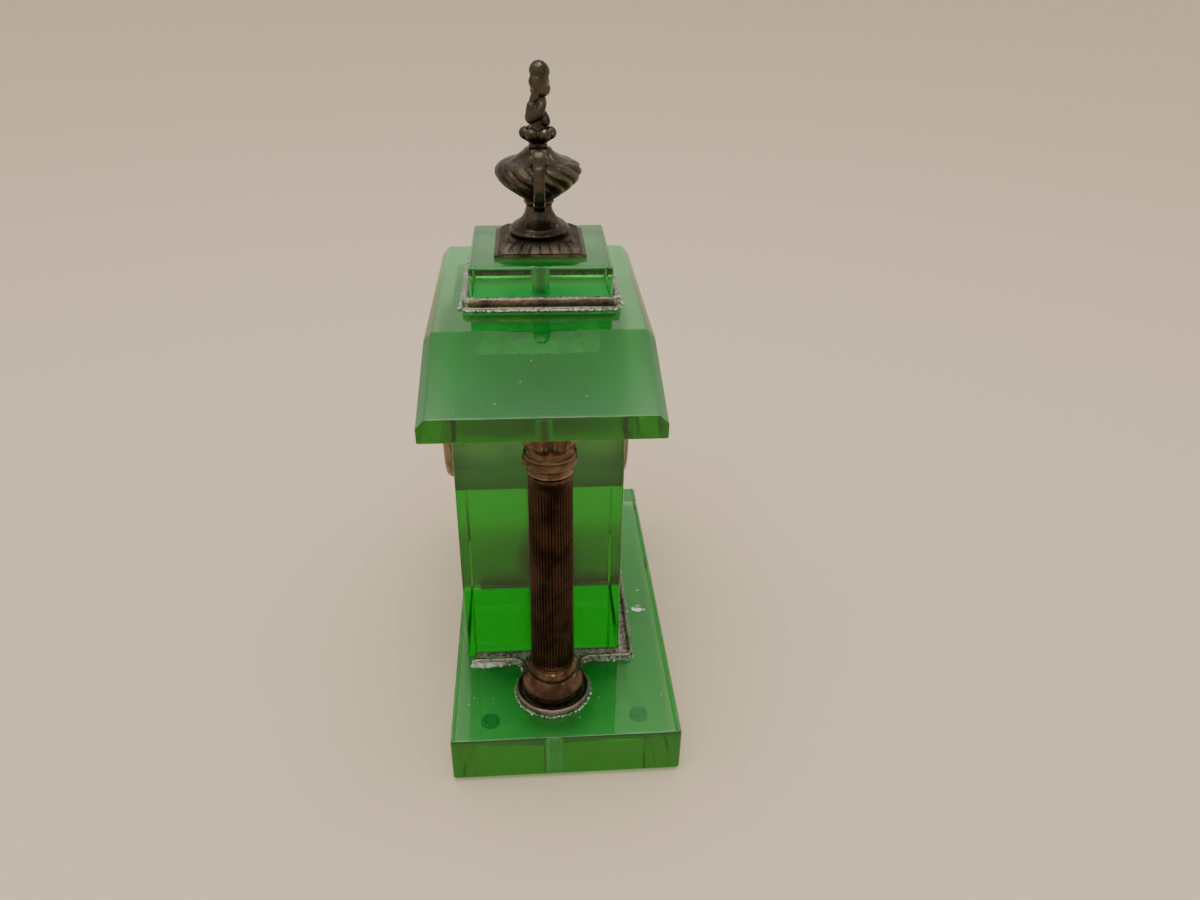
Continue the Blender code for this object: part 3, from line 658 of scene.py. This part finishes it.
def make_roof_glass():
    """Flat on top, sloping to both ends, with a broad chamfer along the long top edges."""
    low, high = (Vector(corner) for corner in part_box("roof_slab"))
    half = [(high.x, low.z), (high.x, low.z + ROOF_END), (ROOF_FLAT, high.z)]
    outline = half + [(-x, z) for x, z in reversed(half)]
    work = skin([[Vector((x, y, z)) for x, z in outline] for y in (low.y, high.y)])
    bmesh.ops.recalc_face_normals(work, faces=work.faces)

    def is_long_and_upper(edge):
        first, second = (vertex.co for vertex in edge.verts)
        run = first - second
        return abs(run.y) < MM < abs(run.x) and max(first.z, second.z) > low.z + MM

    ease(work, [edge for edge in work.edges if is_long_and_upper(edge)], 4.2 * MM, 1)
    ease(work, sharp_edges(work, 12), 0.9 * MM, 2)
    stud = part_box("finial_stud")
    holes = [
        upright_hole(0, CREST_Y, low.z - THROUGH, high.z + THROUGH, STUD_HOLE),
        upright_hole(0, CREST_Y, stud[0][2] - THROUGH, low.z + 6 * MM, 8.0 * MM),
    ]
    bubbles = []
    for _ in range(16):
        x = random.uniform(0.066, 0.104)
        y = random.uniform(low.y + 8 * MM, high.y - 8 * MM)
        z = low.z + random.uniform(2, 9) * MM
        bubbles.append((Vector((x, y, z)), random.uniform(0.18, 0.45) * MM))
    glass_piece("roof_glass", work, "roof_slab", holes, bubbles, matt_side=(0, 0, -1))


def make_block_glass():
    low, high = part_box("top_block")
    work = block(low, high)
    ease(work, sharp_edges(work), 1.5 * MM, 3)
    hole = upright_hole(0, CREST_Y, low[2] - THROUGH, high[2] + THROUGH, STUD_HOLE)
    glass_piece("block_glass", work, "top_block", [hole], matt_side=(0, 0, -1), matt=DRILLED)


def make_films():
    """Cement between the body and the slabs, with a torn edge. The upper film wets both glass faces."""
    films = (("upper_cement", 51.5 * MM, 30 * MM, 0.40 * MM), ("lower_cement", 51 * MM, 38 * MM, -0.05 * MM))
    tears = ((0.9, 180), (0.7, 620), (0.5, 1900))
    for node, half_x, half_y, lift in films:
        centre = middle(node)
        outline = []
        for x, y in rounded_rectangle(2 * half_x, 2 * half_y, 5 * MM, 10, 110):
            edge = Vector((x, y, 0))
            torn = sum(size * noise.noise(edge * rate) for size, rate in tears)
            outline.append(edge * (1 + torn * MM / edge.length))
        heights = (bottom(node) - lift, top(node) + lift)
        rings = [[Vector((p.x + centre.x, p.y + centre.y, z)) for p in outline] for z in heights]
        keep(node + "_film", skin(rings), CEMENT, instead=(node,))


def make_blisters():
    """Drops of clear glass left on the base."""
    profile = [(0.02, 0.0), (0.96, 0.0), (1.0, 0.08), (0.92, 0.45), (0.66, 0.82), (0.3, 0.97), (0.02, 1.0)]
    dome = turn_rings(soften(profile, 1), 32, (0, 0), 0)
    drops = (((19.2, 49.0), (3.2, 4.2, 2.3)), ((1.1, 50.5), (0.8, 0.9, 0.5)))
    for number, ((x, y), size) in enumerate(drops, 1):
        spot = Vector((x * MM, y * MM, BASE_TOP + 0.02 * MM))
        scale = Matrix.Diagonal(Vector(size) * MM)
        rings = [[spot + scale @ point for point in ring] for ring in dome]
        keep(f"glass_blister_{number}", skin(rings), PANE)


# ---- mouldings


def rail_edge():
    """Outer edge of the base moulding from its front end to the back corner, with the lobe blended in."""
    low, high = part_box("base_rail")
    outer_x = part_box("body_block")[1][0] + 7.2 * MM
    lobe, blend = high[0] - COLUMN_X, 6 * MM
    reach = COLUMN_X - outer_x - blend
    rise = math.sqrt((lobe + blend) ** 2 - reach**2)
    meet = math.degrees(math.atan2(rise, reach))
    points = [(outer_x, low[1])]
    start = (outer_x + blend, COLUMN_Y - rise)
    points += between(points[-1], (outer_x, start[1]), 12)
    points += arc(start, blend, 180, meet, 8)
    points += arc((COLUMN_X, COLUMN_Y), lobe, meet - 180, 180 - meet, 44)[1:-1]
    end = (outer_x + blend, COLUMN_Y + rise)
    points += arc(end, blend, -meet, -180, 8)
    corner = 5 * MM
    points += between(points[-1], (outer_x, high[1] - corner), 6)
    points += arc((outer_x - corner, high[1] - corner), corner, 0, 90, 8)
    return points


def inset(points, depth):
    """Moves each point of an open outline to its left-hand side."""
    moved = []
    for i, point in enumerate(points):
        before, after = points[max(i - 1, 0)], points[min(i + 1, len(points) - 1)]
        dx, dy = after[0] - before[0], after[1] - before[1]
        length = math.hypot(dx, dy) or 1.0
        moved.append((point[0] - depth * dy / length, point[1] + depth * dx / length))
    return moved


def make_base_moulding():
    """A rolled edge with a flat behind it, on three sides of the body and round both columns."""
    low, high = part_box("base_rail")
    tall = high[2] - low[2]
    body_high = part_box("body_block")[1]
    inner_x, inner_y = body_high[0] + 0.3 * MM, body_high[1] + 0.3 * MM
    half = rail_edge()
    half += between(half[-1], (0, half[-1][1]), 24)
    outer = half + [(0, half[-1][1])] + [(-x, y) for x, y in reversed(half)]
    inner = [(-inner_x, low[1]), *between((-inner_x, low[1]), (-inner_x, inner_y), 8), (-inner_x, inner_y)]
    inner += [*between((-inner_x, inner_y), (inner_x, inner_y), 8), (inner_x, inner_y)]
    inner += between((inner_x, inner_y), (inner_x, low[1]), 8) + [(inner_x, low[1])]
    profile = [(0.3, 0.0), (0.0, 0.25), (0.0, 0.50), (0.25, 0.78), (0.8, 0.97), (1.5, 1.0)]
    profile += [(2.2, 0.92), (2.7, 0.74), (3.0, 0.66), (3.4, 0.64)]
    rings = []
    for depth, rise in soften([(d * MM, share * tall) for d, share in profile], 1):
        rings.append([Vector((x, y, low[2] + rise)) for x, y in inset(outer, depth) + inner])
    piece = keep("base_moulding", skin(rings), CRUSTED, instead=("base_rail",))

    def crusting(point):
        seat = 0.45 if abs(point.x) > inner_x + 9 * MM else 1.0
        return seat * (1.0 - 0.75 * clamp((point.z - low[2]) / tall))

    paint(piece.data, "crust", crusting)
    ruffle(piece.data, 0.22 * MM, 1.6 * MM)
    return outer


def make_gallery_moulding():
    """Cove, roll and step, mitred round the top block."""
    low, high = (Vector(corner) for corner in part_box("top_gallery"))
    tall = high.z - low.z
    wall = 4.1 * MM
    profile = [(0.3, 0.0), (0.0, 0.08), (0.0, 0.20), (0.7, 0.26), (0.6, 0.34), (0.35, 0.50), (0.40, 0.66)]
    profile += [(0.75, 0.82), (1.3, 0.93), (2.0, 1.0), (3.0, 1.0), (3.7, 0.95), (4.0, 0.84)]
    profile += [(4.1, 0.6), (4.1, 0.0)]
    length, depth = high.x - low.x, high.y - low.y
    rings = []
    for inward, rise in soften([(d * MM, share * tall) for d, share in profile], 1):
        radius = 5.0 * MM - inward * 0.9
        outline = rounded_rectangle(length - 2 * inward, depth - 2 * inward, radius, 8, 60)
        rings.append([Vector((x, y + CREST_Y, low.z + rise)) for x, y in outline])
    work = skin(rings, loop=True)
    piece = keep("gallery_moulding", work, CRUSTED, instead=("top_gallery",))

    def crusting(point):
        share = (point.z - low.z) / tall
        from_side = min(abs(point.y - low.y), abs(high.y - point.y))
        inside = min(abs(point.x - low.x), abs(high.x - point.x), from_side) / wall
        least = 0.62 if from_side < wall else 0.0
        return max(0.9 - 2.8 * share, 4.0 * (share - 0.86) * (0.4 + inside), least)

    paint(piece.data, "crust", crusting)
    ruffle(piece.data, 0.20 * MM, 1.3 * MM)
    return [(x, y + CREST_Y) for x, y in rounded_rectangle(length, depth, 5 * MM, 8, 60)]


def make_crust(name, outline, height, count, spread, sizes):
    """Grains of corrosion gathered along an outline. spread and sizes are in millimetres."""
    work = bmesh.new()
    clumps = [random.randrange(len(outline)) for _ in range(max(count // 9, 1))]
    for _ in range(count):
        index = (random.choice(clumps) + int(random.gauss(0, 5))) % len(outline)
        x, y = outline[index]
        size = random.uniform(*sizes) * MM
        x += random.uniform(-spread, spread) * MM
        y += random.uniform(-spread, spread) * MM
        place = Vector((x, y, height + size * 0.25))
        scale = (size, size * random.uniform(0.6, 1.3), size * random.uniform(0.5, 0.9), 1)
        shape = Matrix.Translation(place) @ Matrix.Diagonal(scale)
        made = bmesh.ops.create_icosphere(work, subdivisions=1, radius=1.0, matrix=shape)
        for vertex in made["verts"]:
            vertex.co += (vertex.co - place) * 0.5 * noise.noise(vertex.co * 3000)
    keep(name, work, CORROSION, sharp=60)


def make_all_crust(rail_line, gallery_line):
    """Corrosion at the foot of both mouldings, on the gallery's lip, and heaped at the rail's front end."""
    make_crust("rail_verdigris", rail_line, BASE_TOP + 0.4 * MM, 620, 0.7, (0.25, 0.70))
    make_crust("gallery_verdigris", gallery_line, ROOF_TOP + 0.4 * MM, 640, 0.6, (0.30, 0.95))
    lip_line = inset(gallery_line, 1.7 * MM)
    make_crust("gallery_lip_verdigris", lip_line, top("top_gallery") - 0.4 * MM, 420, 0.9, (0.20, 0.60))
    rail_end = [point for point in rail_line if point[0] > 0][:9]
    make_crust("rail_end_verdigris", rail_end, BASE_TOP + 1.6 * MM, 260, 2.2, (0.5, 1.35))


# ---- columns


def flutes(count, depth, low, high, fade):
    """Radius of a shaft with rounded ribs that run out before its ends."""

    def shape(turn, height, radius):
        ends = clamp((height - low) / fade) * clamp((high - height) / fade)
        rib = abs(math.sin(turn * count / 2))
        return radius - depth * (1 - rib) ** 0.8 * math.sqrt(ends)

    return shape


def make_shaft(name, centre):
    """A tapering shaft of 44 ribs, above the sleeve of its turned base."""
    sleeve, foot, head = 4.8 * MM, 11.25 * MM, 10.65 * MM
    steps, courses = 320, 60
    shaft = f"{name}_shaft"
    foot_z = bottom(shaft) + sleeve
    length = top(shaft) - foot_z
    cut = flutes(44, 0.50 * MM, 1.0 * MM, length - 5.0 * MM, 1.5 * MM)
    shares = [i / courses for i in range(courses + 1)]
    outline = [(foot + (head - foot) * share**1.3, length * share) for share in shares]
    rings = turn_rings([(0.02 * MM, 0)], steps, centre, foot_z)
    rings += turn_rings(outline, steps, centre, foot_z, cut)
    rings += turn_rings([(0.02 * MM, length)], steps, centre, foot_z)
    keep(f"{name}_fluting", skin(rings), SHAFT, instead=(shaft,), sharp=60)


def make_column_base(name, centre):
    base = f"{name}_base"
    profile = [(3.2, 0.0), (15.6, 0.0), (16.4, 0.6), (16.6, 2.0), (16.5, 4.6), (16.0, 6.0), (15.0, 7.2)]
    profile += [(13.7, 8.8), (12.9, 10.4), (12.3, 11.2), (12.1, 11.8), (12.5, 12.3), (13.2, 13.1)]
    profile += [(13.5, 14.6), (13.3, 16.2), (12.6, 17.5), (11.9, 18.0), (11.7, 18.4), (11.7, 19.3)]
    profile += [(11.5, 19.6), (3.2, 19.6)]
    turned(f"{name}_torus", profile, 128, centre, bottom(base), COPPERY, base)


def leaves(turn, height, radius):
    """Eight broad leaves that lean out from the bell of a capital."""
    rise = clamp((height - 13.6 * MM) / (10.6 * MM))
    across = abs(math.sin(4 * turn))
    second = abs(math.cos(4 * turn))
    swell = 1.5 * MM * math.sin(math.pi * min(rise * 1.25, 1.0)) * across**0.6
    swell += 1.3 * MM * math.sin(math.pi * max(rise * 1.4 - 0.4, 0.0)) * second**0.6
    vein = 0.25 * MM * abs(math.sin(24 * turn)) * (1 if 0 < rise < 1 else 0)
    return radius + swell - vein


def make_capital(name, centre):
    """A turned neck and a bell of leaves under a square abacus."""
    capital = f"{name}_capital"
    low = bottom(capital)
    profile = [(3.2, 0.0), (11.3, 0.0), (11.4, 4.0), (11.9, 4.6), (12.7, 5.4), (13.1, 6.8), (12.8, 8.2)]
    profile += [(12.1, 8.8), (11.9, 9.2), (12.4, 9.7), (12.5, 10.4), (12.0, 11.0), (11.4, 11.4), (11.2, 13.0)]
    profile += [(11.3, 14.6), (12.0, 17.0), (13.4, 20.0), (15.2, 22.8), (16.2, 24.6), (15.8, 26.4)]
    profile += [(14.8, 27.4), (3.2, 27.6)]
    turned(f"{name}_bell", profile, 192, centre, low, COPPERY, capital, leaves, 1)
    cap_low, cap_high = (Vector(corner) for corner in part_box(capital))
    abacus = block((cap_low.x, cap_low.y, low + extent(capital).z - 5.2 * MM), cap_high)
    ease(abacus, sharp_edges(abacus), 0.9 * MM, 3)
    keep(f"{name}_abacus", abacus, COPPERY)


def make_columns():
    for side, name in ((1, "right_column"), (-1, "left_column")):
        centre = (side * COLUMN_X, COLUMN_Y)
        make_shaft(name, centre)
        make_column_base(name, centre)
        make_capital(name, centre)


# ---- finial


def make_plinth():
    """A square plate whose sloping sides carry a row of upright leaves."""
    low, high = (Vector(corner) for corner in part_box("finial_plinth"))
    half, tall = (high.x - low.x) / 2, high.z - low.z
    lip, inner = 0.93, 0.60  # where the slope starts and ends, as shares of the half width
    leaf_count = 8

    def height(x, y):
        reach = max(abs(x), abs(y))
        if reach > lip:
            return 1.5 * MM
        share = min((lip - reach) / (lip - inner), 1.0)
        rise = 1.7 * MM + (tall - 2.1 * MM) * math.sin(share * math.pi / 2)
        along = (y if abs(x) > abs(y) else x) / max(reach, 0.01)
        across = ((along + 1) / 2 * leaf_count) % 1.0 * 2 - 1
        width = math.sqrt(max(1 - (1 - min(share * 3.2, 1.0)) ** 2, 0.0)) * 0.80
        rim = math.exp(-(((abs(across) - width) / 0.14) ** 2))
        vein = math.exp(-((across / 0.12) ** 2)) if abs(across) < width - 0.2 else 0.0
        gap = min(max(abs(across) - width, 0.0) * 4, 1.0)
        fade = min(share * 7, 1.0) * min((1 - share) * 3, 1.0)
        return rise + (0.50 * rim + 0.30 * vein - 0.45 * gap) * MM * max(fade, 0.0)

    count = 150
    work = bmesh.new()
    grid = [[None] * (count + 1) for _ in range(count + 1)]
    for i in range(count + 1):
        for j in range(count + 1):
            x, y = 2 * i / count - 1, 2 * j / count - 1
            grid[i][j] = work.verts.new((x * half, CREST_Y + y * half, low.z + height(x, y)))
    for i in range(count):
        for j in range(count):
            work.faces.new((grid[i][j], grid[i + 1][j], grid[i + 1][j + 1], grid[i][j + 1]))
    rim = [grid[i][0] for i in range(count)] + [grid[count][j] for j in range(count)]
    rim += [grid[i][count] for i in range(count, 0, -1)] + [grid[0][j] for j in range(count, 0, -1)]
    under = [work.verts.new((vertex.co.x, vertex.co.y, low.z)) for vertex in rim]
    for i in range(len(rim)):
        j = (i + 1) % len(rim)
        work.faces.new((rim[i], under[i], under[j], rim[j]))
    work.faces.new(list(reversed(under)))
    keep("plinth_leaves", work, SATIN, instead=("finial_plinth",), sharp=50)


def gadroons(turn, height, radius):
    """Slanting lobes on the bowl, boldest at its widest, that die away on the shoulder."""
    share = clamp((height - 16.5 * MM) / (19.5 * MM))
    strength = math.sin(math.pi * share**1.35) ** 0.75
    wave = abs(math.sin(7 * (turn + 1.5 * share)))
    return radius * (1 + 0.095 * strength * (wave**0.7 - 0.62))


def make_urn():
    low = bottom("urn_bowl")
    foot = [(0.02, 0.0), (14.0, 0.0), (14.9, 0.5), (15.0, 1.3), (14.2, 2.0), (13.6, 2.4), (13.7, 3.1)]
    foot += [(12.9, 4.0), (10.9, 5.0), (9.0, 6.4), (7.6, 8.2)]
    stem = [(6.8, 10.2), (6.3, 11.8), (6.3, 13.0), (6.7, 13.9), (7.4, 14.4), (7.6, 15.0), (7.1, 15.6)]
    stem += [(7.7, 16.4)]
    bowl = [(10.2, 18.0), (13.4, 20.2), (16.4, 22.6), (18.7, 25.2), (20.1, 28.0), (20.2, 30.4), (19.2, 32.4)]
    bowl += [(17.2, 33.8)]
    shoulder = [(15.4, 34.4), (14.8, 34.2), (13.0, 35.0), (10.0, 36.6), (7.8, 38.2), (6.4, 39.6), (5.9, 40.3)]
    shoulder += [(0.02, 40.4)]
    profile = foot + stem + bowl + shoulder
    piece = turned("urn_body", profile, 224, (0, CREST_Y), low, SATIN, "urn_bowl", gadroons)
    lean = math.tan(math.radians(1.6))
    for vertex in piece.data.vertices:
        share = 1.0 - clamp((vertex.co.z - low) / (8 * MM))
        vertex.co.z += share * lean * (vertex.co.y - CREST_Y)
    ruffle(piece.data, 0.30 * MM, 5.0 * MM)
    ruffle(piece.data, 0.10 * MM, 1.8 * MM)


def fused(name, limbs, voxel, node, smooth):
    """Each limb, a run of (point, radius), becomes a tapering chain of balls. All melt into one casting."""
    work = bmesh.new()
    for limb in limbs:
        for (start, first), (end, second) in zip(limb, limb[1:]):
            start, end = Vector(start), Vector(end)
            steps = max(int((end - start).length / (0.35 * min(first, second))), 1)
            for step in range(steps + 1):
                share = step / steps
                ball(work, start.lerp(end, share), first + (second - first) * share)
    raw = loose(name + "_raw", work)
    melt = raw.modifiers.new("melt", "REMESH")
    melt.mode = "VOXEL"
    melt.voxel_size = voxel
    even = raw.modifiers.new("even", "SMOOTH")
    even.factor = 0.5
    even.iterations = smooth
    keep_mesh(name, settled(raw), SATIN, instead=(node,), sharp=80)


def on_axis(x, y, z, radius):
    """A ball of a limb, placed from the finial's axis. x, y and radius are in millimetres."""
    return ((x * MM, CREST_Y + y * MM, z), radius * MM)


def make_lid():
    """A knop of six plump lobes round a core."""
    low = bottom("urn_lid")
    core = ((0.4, 4.6), (2.6, 4.2), (9.8, 3.4))
    limbs = [[on_axis(0, 0, low + rise * MM, radius) for rise, radius in core]]
    for lobe in range(6):
        turn = math.radians(60 * lobe + 30)
        x, y = math.cos(turn), math.sin(turn)
        root = on_axis(4.2 * x, 4.2 * y, low + 4.8 * MM, 3.0)
        limbs.append([root, on_axis(5.9 * x, 5.9 * y, low + 6.0 * MM, 3.2)])
    fused("urn_knop", limbs, 0.42 * MM, "urn_lid", smooth=4)


def make_flame():
    """Two strands twisted together under a round crown, with a small tongue at the foot."""
    low, high = bottom("flame"), top("flame")
    stem, steps = high - low - 12 * MM, 24
    limbs = []
    for strand in range(2):
        run = []
        for step in range(steps + 1):
            share = step / steps
            turn = math.pi * (strand + 1.9 * share + 0.45)
            swing = 2.1 - 0.5 * share
            x, y = swing * math.cos(turn), 1.6 * (1 - share) ** 2 + swing * math.sin(turn)
            run.append(on_axis(x, y, low + 0.8 * MM + share * stem, 2.5 - 0.3 * share))
        limbs.append(run)
    crown = (
        ((0.6, 0.9, 4.9, 4.7), (-0.8, 1.5, 5.6, 4.7)),
        ((1.4, 0.2, 9.6, 4.3), (1.2, 2.4, 12.6, 4.0)),
        ((-1.4, 1.8, 10.0, 4.2), (-1.6, -0.2, 14.0, 3.2)),
    )
    for limb in crown:
        limbs.append([on_axis(x, y, high - drop * MM, radius) for x, y, drop, radius in limb])
    limbs.append([on_axis(1.2, -3.2, low + 2.6 * MM, 2.9), on_axis(0.8, -2.9, low + 7.8 * MM, 2.3)])
    fused("twisted_flame", limbs, 0.40 * MM, "flame", smooth=5)


def ribbon(path, widths, thick, side):
    """Rings of a strap that bends in the XZ plane and is wide along Y, with a raised middle."""
    rings = []
    for i, (x, z) in enumerate(path):
        before, after = path[max(i - 1, 0)], path[min(i + 1, len(path) - 1)]
        dx, dz = after[0] - before[0], after[1] - before[1]
        length = math.hypot(dx, dz)
        nx, nz = -dz / length, dx / length
        ring = []
        for step in range(24):
            turn = 2 * math.pi * step / 24
            across = math.copysign(abs(math.cos(turn)) ** 0.7, math.cos(turn)) * widths[i]
            out = math.copysign(abs(math.sin(turn)) ** 0.8, math.sin(turn)) * thick[i]
            out *= 1 - 0.22 * math.exp(-((across / (0.35 * widths[i])) ** 2)) if math.sin(turn) > 0 else 1
            ring.append(Vector((side * (x + nx * out), across, z + nz * out)))
        rings.append(ring)
    return rings


def make_handles():
    """Scrolled straps that spring from under the bowl and curl over above its rim."""
    low = bottom("urn_bowl")
    sweep = arc((15.0, 29.0), 12.0, -98, 38, 30)
    curl, curl_steps = [], 39
    for step in range(1, curl_steps + 1):
        share = step / curl_steps
        turn = math.radians(4 + 400 * share)
        reach = 4.4 * (1 - share) + 1.2 * share
        x, z = 19.6 - 0.6 * share, 38.4 + 0.4 * share
        curl.append((x + reach * math.cos(turn), z + reach * math.sin(turn)))
    foot = [(8.2, 12.2), (8.6, 13.2), (9.4, 14.6), (10.8, 16.2)]
    path = foot + sweep[2:] + curl
    count = len(path)
    widths, thick = [], []
    for i in range(count):
        share = i / (count - 1)
        flare, root = max(0.0, (share - 0.42) / 0.58) ** 0.7, max(0.0, 1 - share / 0.12)
        widths.append((2.6 + 1.8 * flare + 0.5 * root) * MM)
        thick.append((1.35 - 0.25 * share) * MM)
    path = in_mm(path)
    for name, side in (("urn_handle_right", 1), ("urn_handle_left", -1)):
        strap = ribbon(path, widths, thick, side)
        rings = [[point + Vector((0, CREST_Y, low)) for point in ring] for ring in strap]
        piece = keep(name + "_scroll", skin(rings), HANDLE, instead=(name,), sharp=60)
        ruffle(piece.data, 0.10 * MM, 1.5 * MM)


# ---- dial and doors


def make_numerals():
    """Roman hours and a minute ring, printed on the dial."""
    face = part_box("dial")[0][1]
    proud = 0.04 * MM
    hour_reach, minute_reach = 24.4 * MM, 29.6 * MM
    stand = Matrix.Rotation(math.pi / 2, 4, "X") @ Matrix.Scale(0.82, 4, (1, 0, 0))

    def at_clock_angle(turn, reach):
        spot = Vector((reach * math.sin(turn), face - proud, CLOCK.z + reach * math.cos(turn)))
        return Matrix.Translation(spot) @ Matrix.Rotation(turn, 4, "Y")

    numerals = ("XII", "I", "II", "III", "IIII", "V", "VI", "VII", "VIII", "IX", "X", "XI")
    work = bmesh.new()
    for hour, text in enumerate(numerals):
        letter = bpy.data.curves.new("numeral", "FONT")
        letter.body = text
        letter.size = 6.6 * MM
        letter.align_x = "CENTER"
        letter.align_y = "CENTER"
        letter.extrude = proud / 2
        letter.resolution_u = 3
        holder = bpy.data.objects.new("numeral", letter)
        bpy.context.scene.collection.objects.link(holder)
        mesh = settled(holder)
        mesh.transform(at_clock_angle(math.radians(30 * hour), hour_reach) @ stand)
        work.from_mesh(mesh)
        bpy.data.meshes.remove(mesh)
    for minute in range(60):
        wide = (0.68 if minute % 5 == 0 else 0.26) * MM
        tick = bmesh.ops.create_cube(work, size=1.0)["verts"]
        place = at_clock_angle(math.radians(6 * minute), minute_reach)
        shape = place @ Matrix.Diagonal((wide, proud, 1.5 * MM, 1))
        bmesh.ops.transform(work, matrix=shape, verts=tick)
    for reach in (28.7, 30.5):
        rings = []
        for radius, share in ((reach, 0), (reach + 0.14, 0), (reach + 0.14, 1), (reach, 1)):
            depth = face - proud * (0.5 + share)
            circle = arc((0, CLOCK.z), radius * MM, 0, 357, 119)
            rings.append([Vector((x, depth, z)) for x, z in circle])
        skin(rings, loop=True, work=work)
    bmesh.ops.remove_doubles(work, verts=work.verts, dist=0.000001)
    keep("dial_numerals", work, PAINT)


def make_beading():
    """A row of small beads round the sloping rim of each door."""
    reach, count = 34.2 * MM, 96
    for door, rim in (("front_door", 1.0 * MM), ("back_door", 2.6 * MM)):
        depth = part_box(door)[0][1] + rim
        work = bmesh.new()
        for bead in range(count):
            turn = 2 * math.pi * bead / count
            place = Vector((reach * math.cos(turn), depth, CLOCK.z + reach * math.sin(turn)))
            ball(work, place, 0.95 * MM)
        keep(f"{door}_beads", work, COPPERY, door)


def make_dust():
    """Pale specks on the glass that looks up."""
    low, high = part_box("roof_slab")
    base_low, base_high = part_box("base_slab")
    slope = (high[2] - low[2] - ROOF_END) / (high[0] - ROOF_FLAT)
    work = bmesh.new()
    for _ in range(70):
        if random.random() < 0.4:
            x, y = random.uniform(0.064, 0.112), random.uniform(low[1] + 6 * MM, high[1] - 6 * MM)
            z = high[2] - (x - ROOF_FLAT) * slope
        else:
            x, y = random.uniform(0.086, 0.112), random.uniform(base_low[1] + 4 * MM, base_high[1] - 4 * MM)
            z = base_high[2]
        x *= random.choice((-1, 1))
        size = random.uniform(0.14, 0.38) * MM
        ball(work, (x, y, z + size * 0.7), size, 1)
    keep("dust_specks", work, CORROSION, sharp=60)


# ---- stage, lights and camera


def make_stage():
    work = bmesh.new()
    bmesh.ops.create_grid(work, x_segments=1, y_segments=1, size=30.0)
    floor = loose("floor", work)
    floor.location.z = -0.05 * MM
    nodes = Nodes("pale_floor")
    grain = nodes.noise(2.0 * MM, 3.0)
    nodes.set(Base_Color=nodes.mix(grain, (0.77, 0.64, 0.485), (0.82, 0.69, 0.525)), Roughness=0.9)
    floor.data.materials.append(nodes.material)


def make_lights():
    """An even room, and one broad soft lamp overhead."""
    world = bpy.data.worlds.new("soft_room")
    world.use_nodes = True
    world.node_tree.nodes["Background"].inputs["Color"].default_value = (0.94, 0.86, 0.76, 1)
    world.node_tree.nodes["Background"].inputs["Strength"].default_value = 0.88
    bpy.context.scene.world = world
    lamp = bpy.data.lights.new("ceiling", "AREA")
    lamp.shape = "RECTANGLE"
    lamp.size, lamp.size_y = 1.3, 1.6
    lamp.energy = 18
    lamp.color = (1.0, 0.95, 0.88)
    holder = bpy.data.objects.new("ceiling", lamp)
    holder.location = (0.35, -0.1, 1.9)
    toward = Vector((0, 0, 0.1)) - holder.location
    holder.rotation_euler = toward.to_track_quat("-Z", "Y").to_euler()
    bpy.context.scene.collection.objects.link(holder)


def let_light_through():
    """Light crosses the long slabs in many reflections, more than the usual limits allow."""
    paths = bpy.context.scene.cycles
    paths.max_bounces = 24
    paths.glossy_bounces = 20
    paths.transmission_bounces = 24


def make_camera():
    lens = bpy.data.cameras.new("camera")
    lens.sensor_width = 36.0
    lens.lens = 27.0
    lens.clip_start = 0.01
    camera = bpy.data.objects.new("camera", lens)
    yaw, pitch, roll = (math.radians(angle) for angle in (4.93118, 30.48464, 1.12571))
    forward = Vector((-math.cos(yaw) * math.cos(pitch), math.sin(yaw) * math.cos(pitch), -math.sin(pitch)))
    level = Vector((math.sin(yaw), math.cos(yaw), 0))
    up = level.cross(forward)
    right = math.cos(roll) * level + math.sin(roll) * up
    above = -math.sin(roll) * level + math.cos(roll) * up
    place = Vector((0.44153, -0.01273, 0.39337))
    camera.matrix_world = Matrix.Translation(place) @ Matrix((right, above, -forward)).transposed().to_4x4()
    bpy.context.scene.collection.objects.link(camera)
    bpy.context.scene.camera = camera


dress_frame()
make_camera()
make_stage()
make_lights()
let_light_through()
make_base_glass()
make_body_glass()
make_roof_glass()
make_block_glass()
make_films()
make_blisters()
rail_line = make_base_moulding()
gallery_line = make_gallery_moulding()
make_all_crust(rail_line, gallery_line)
make_columns()
make_plinth()
make_urn()
make_lid()
make_flame()
make_handles()
make_numerals()
make_beading()
make_dust()
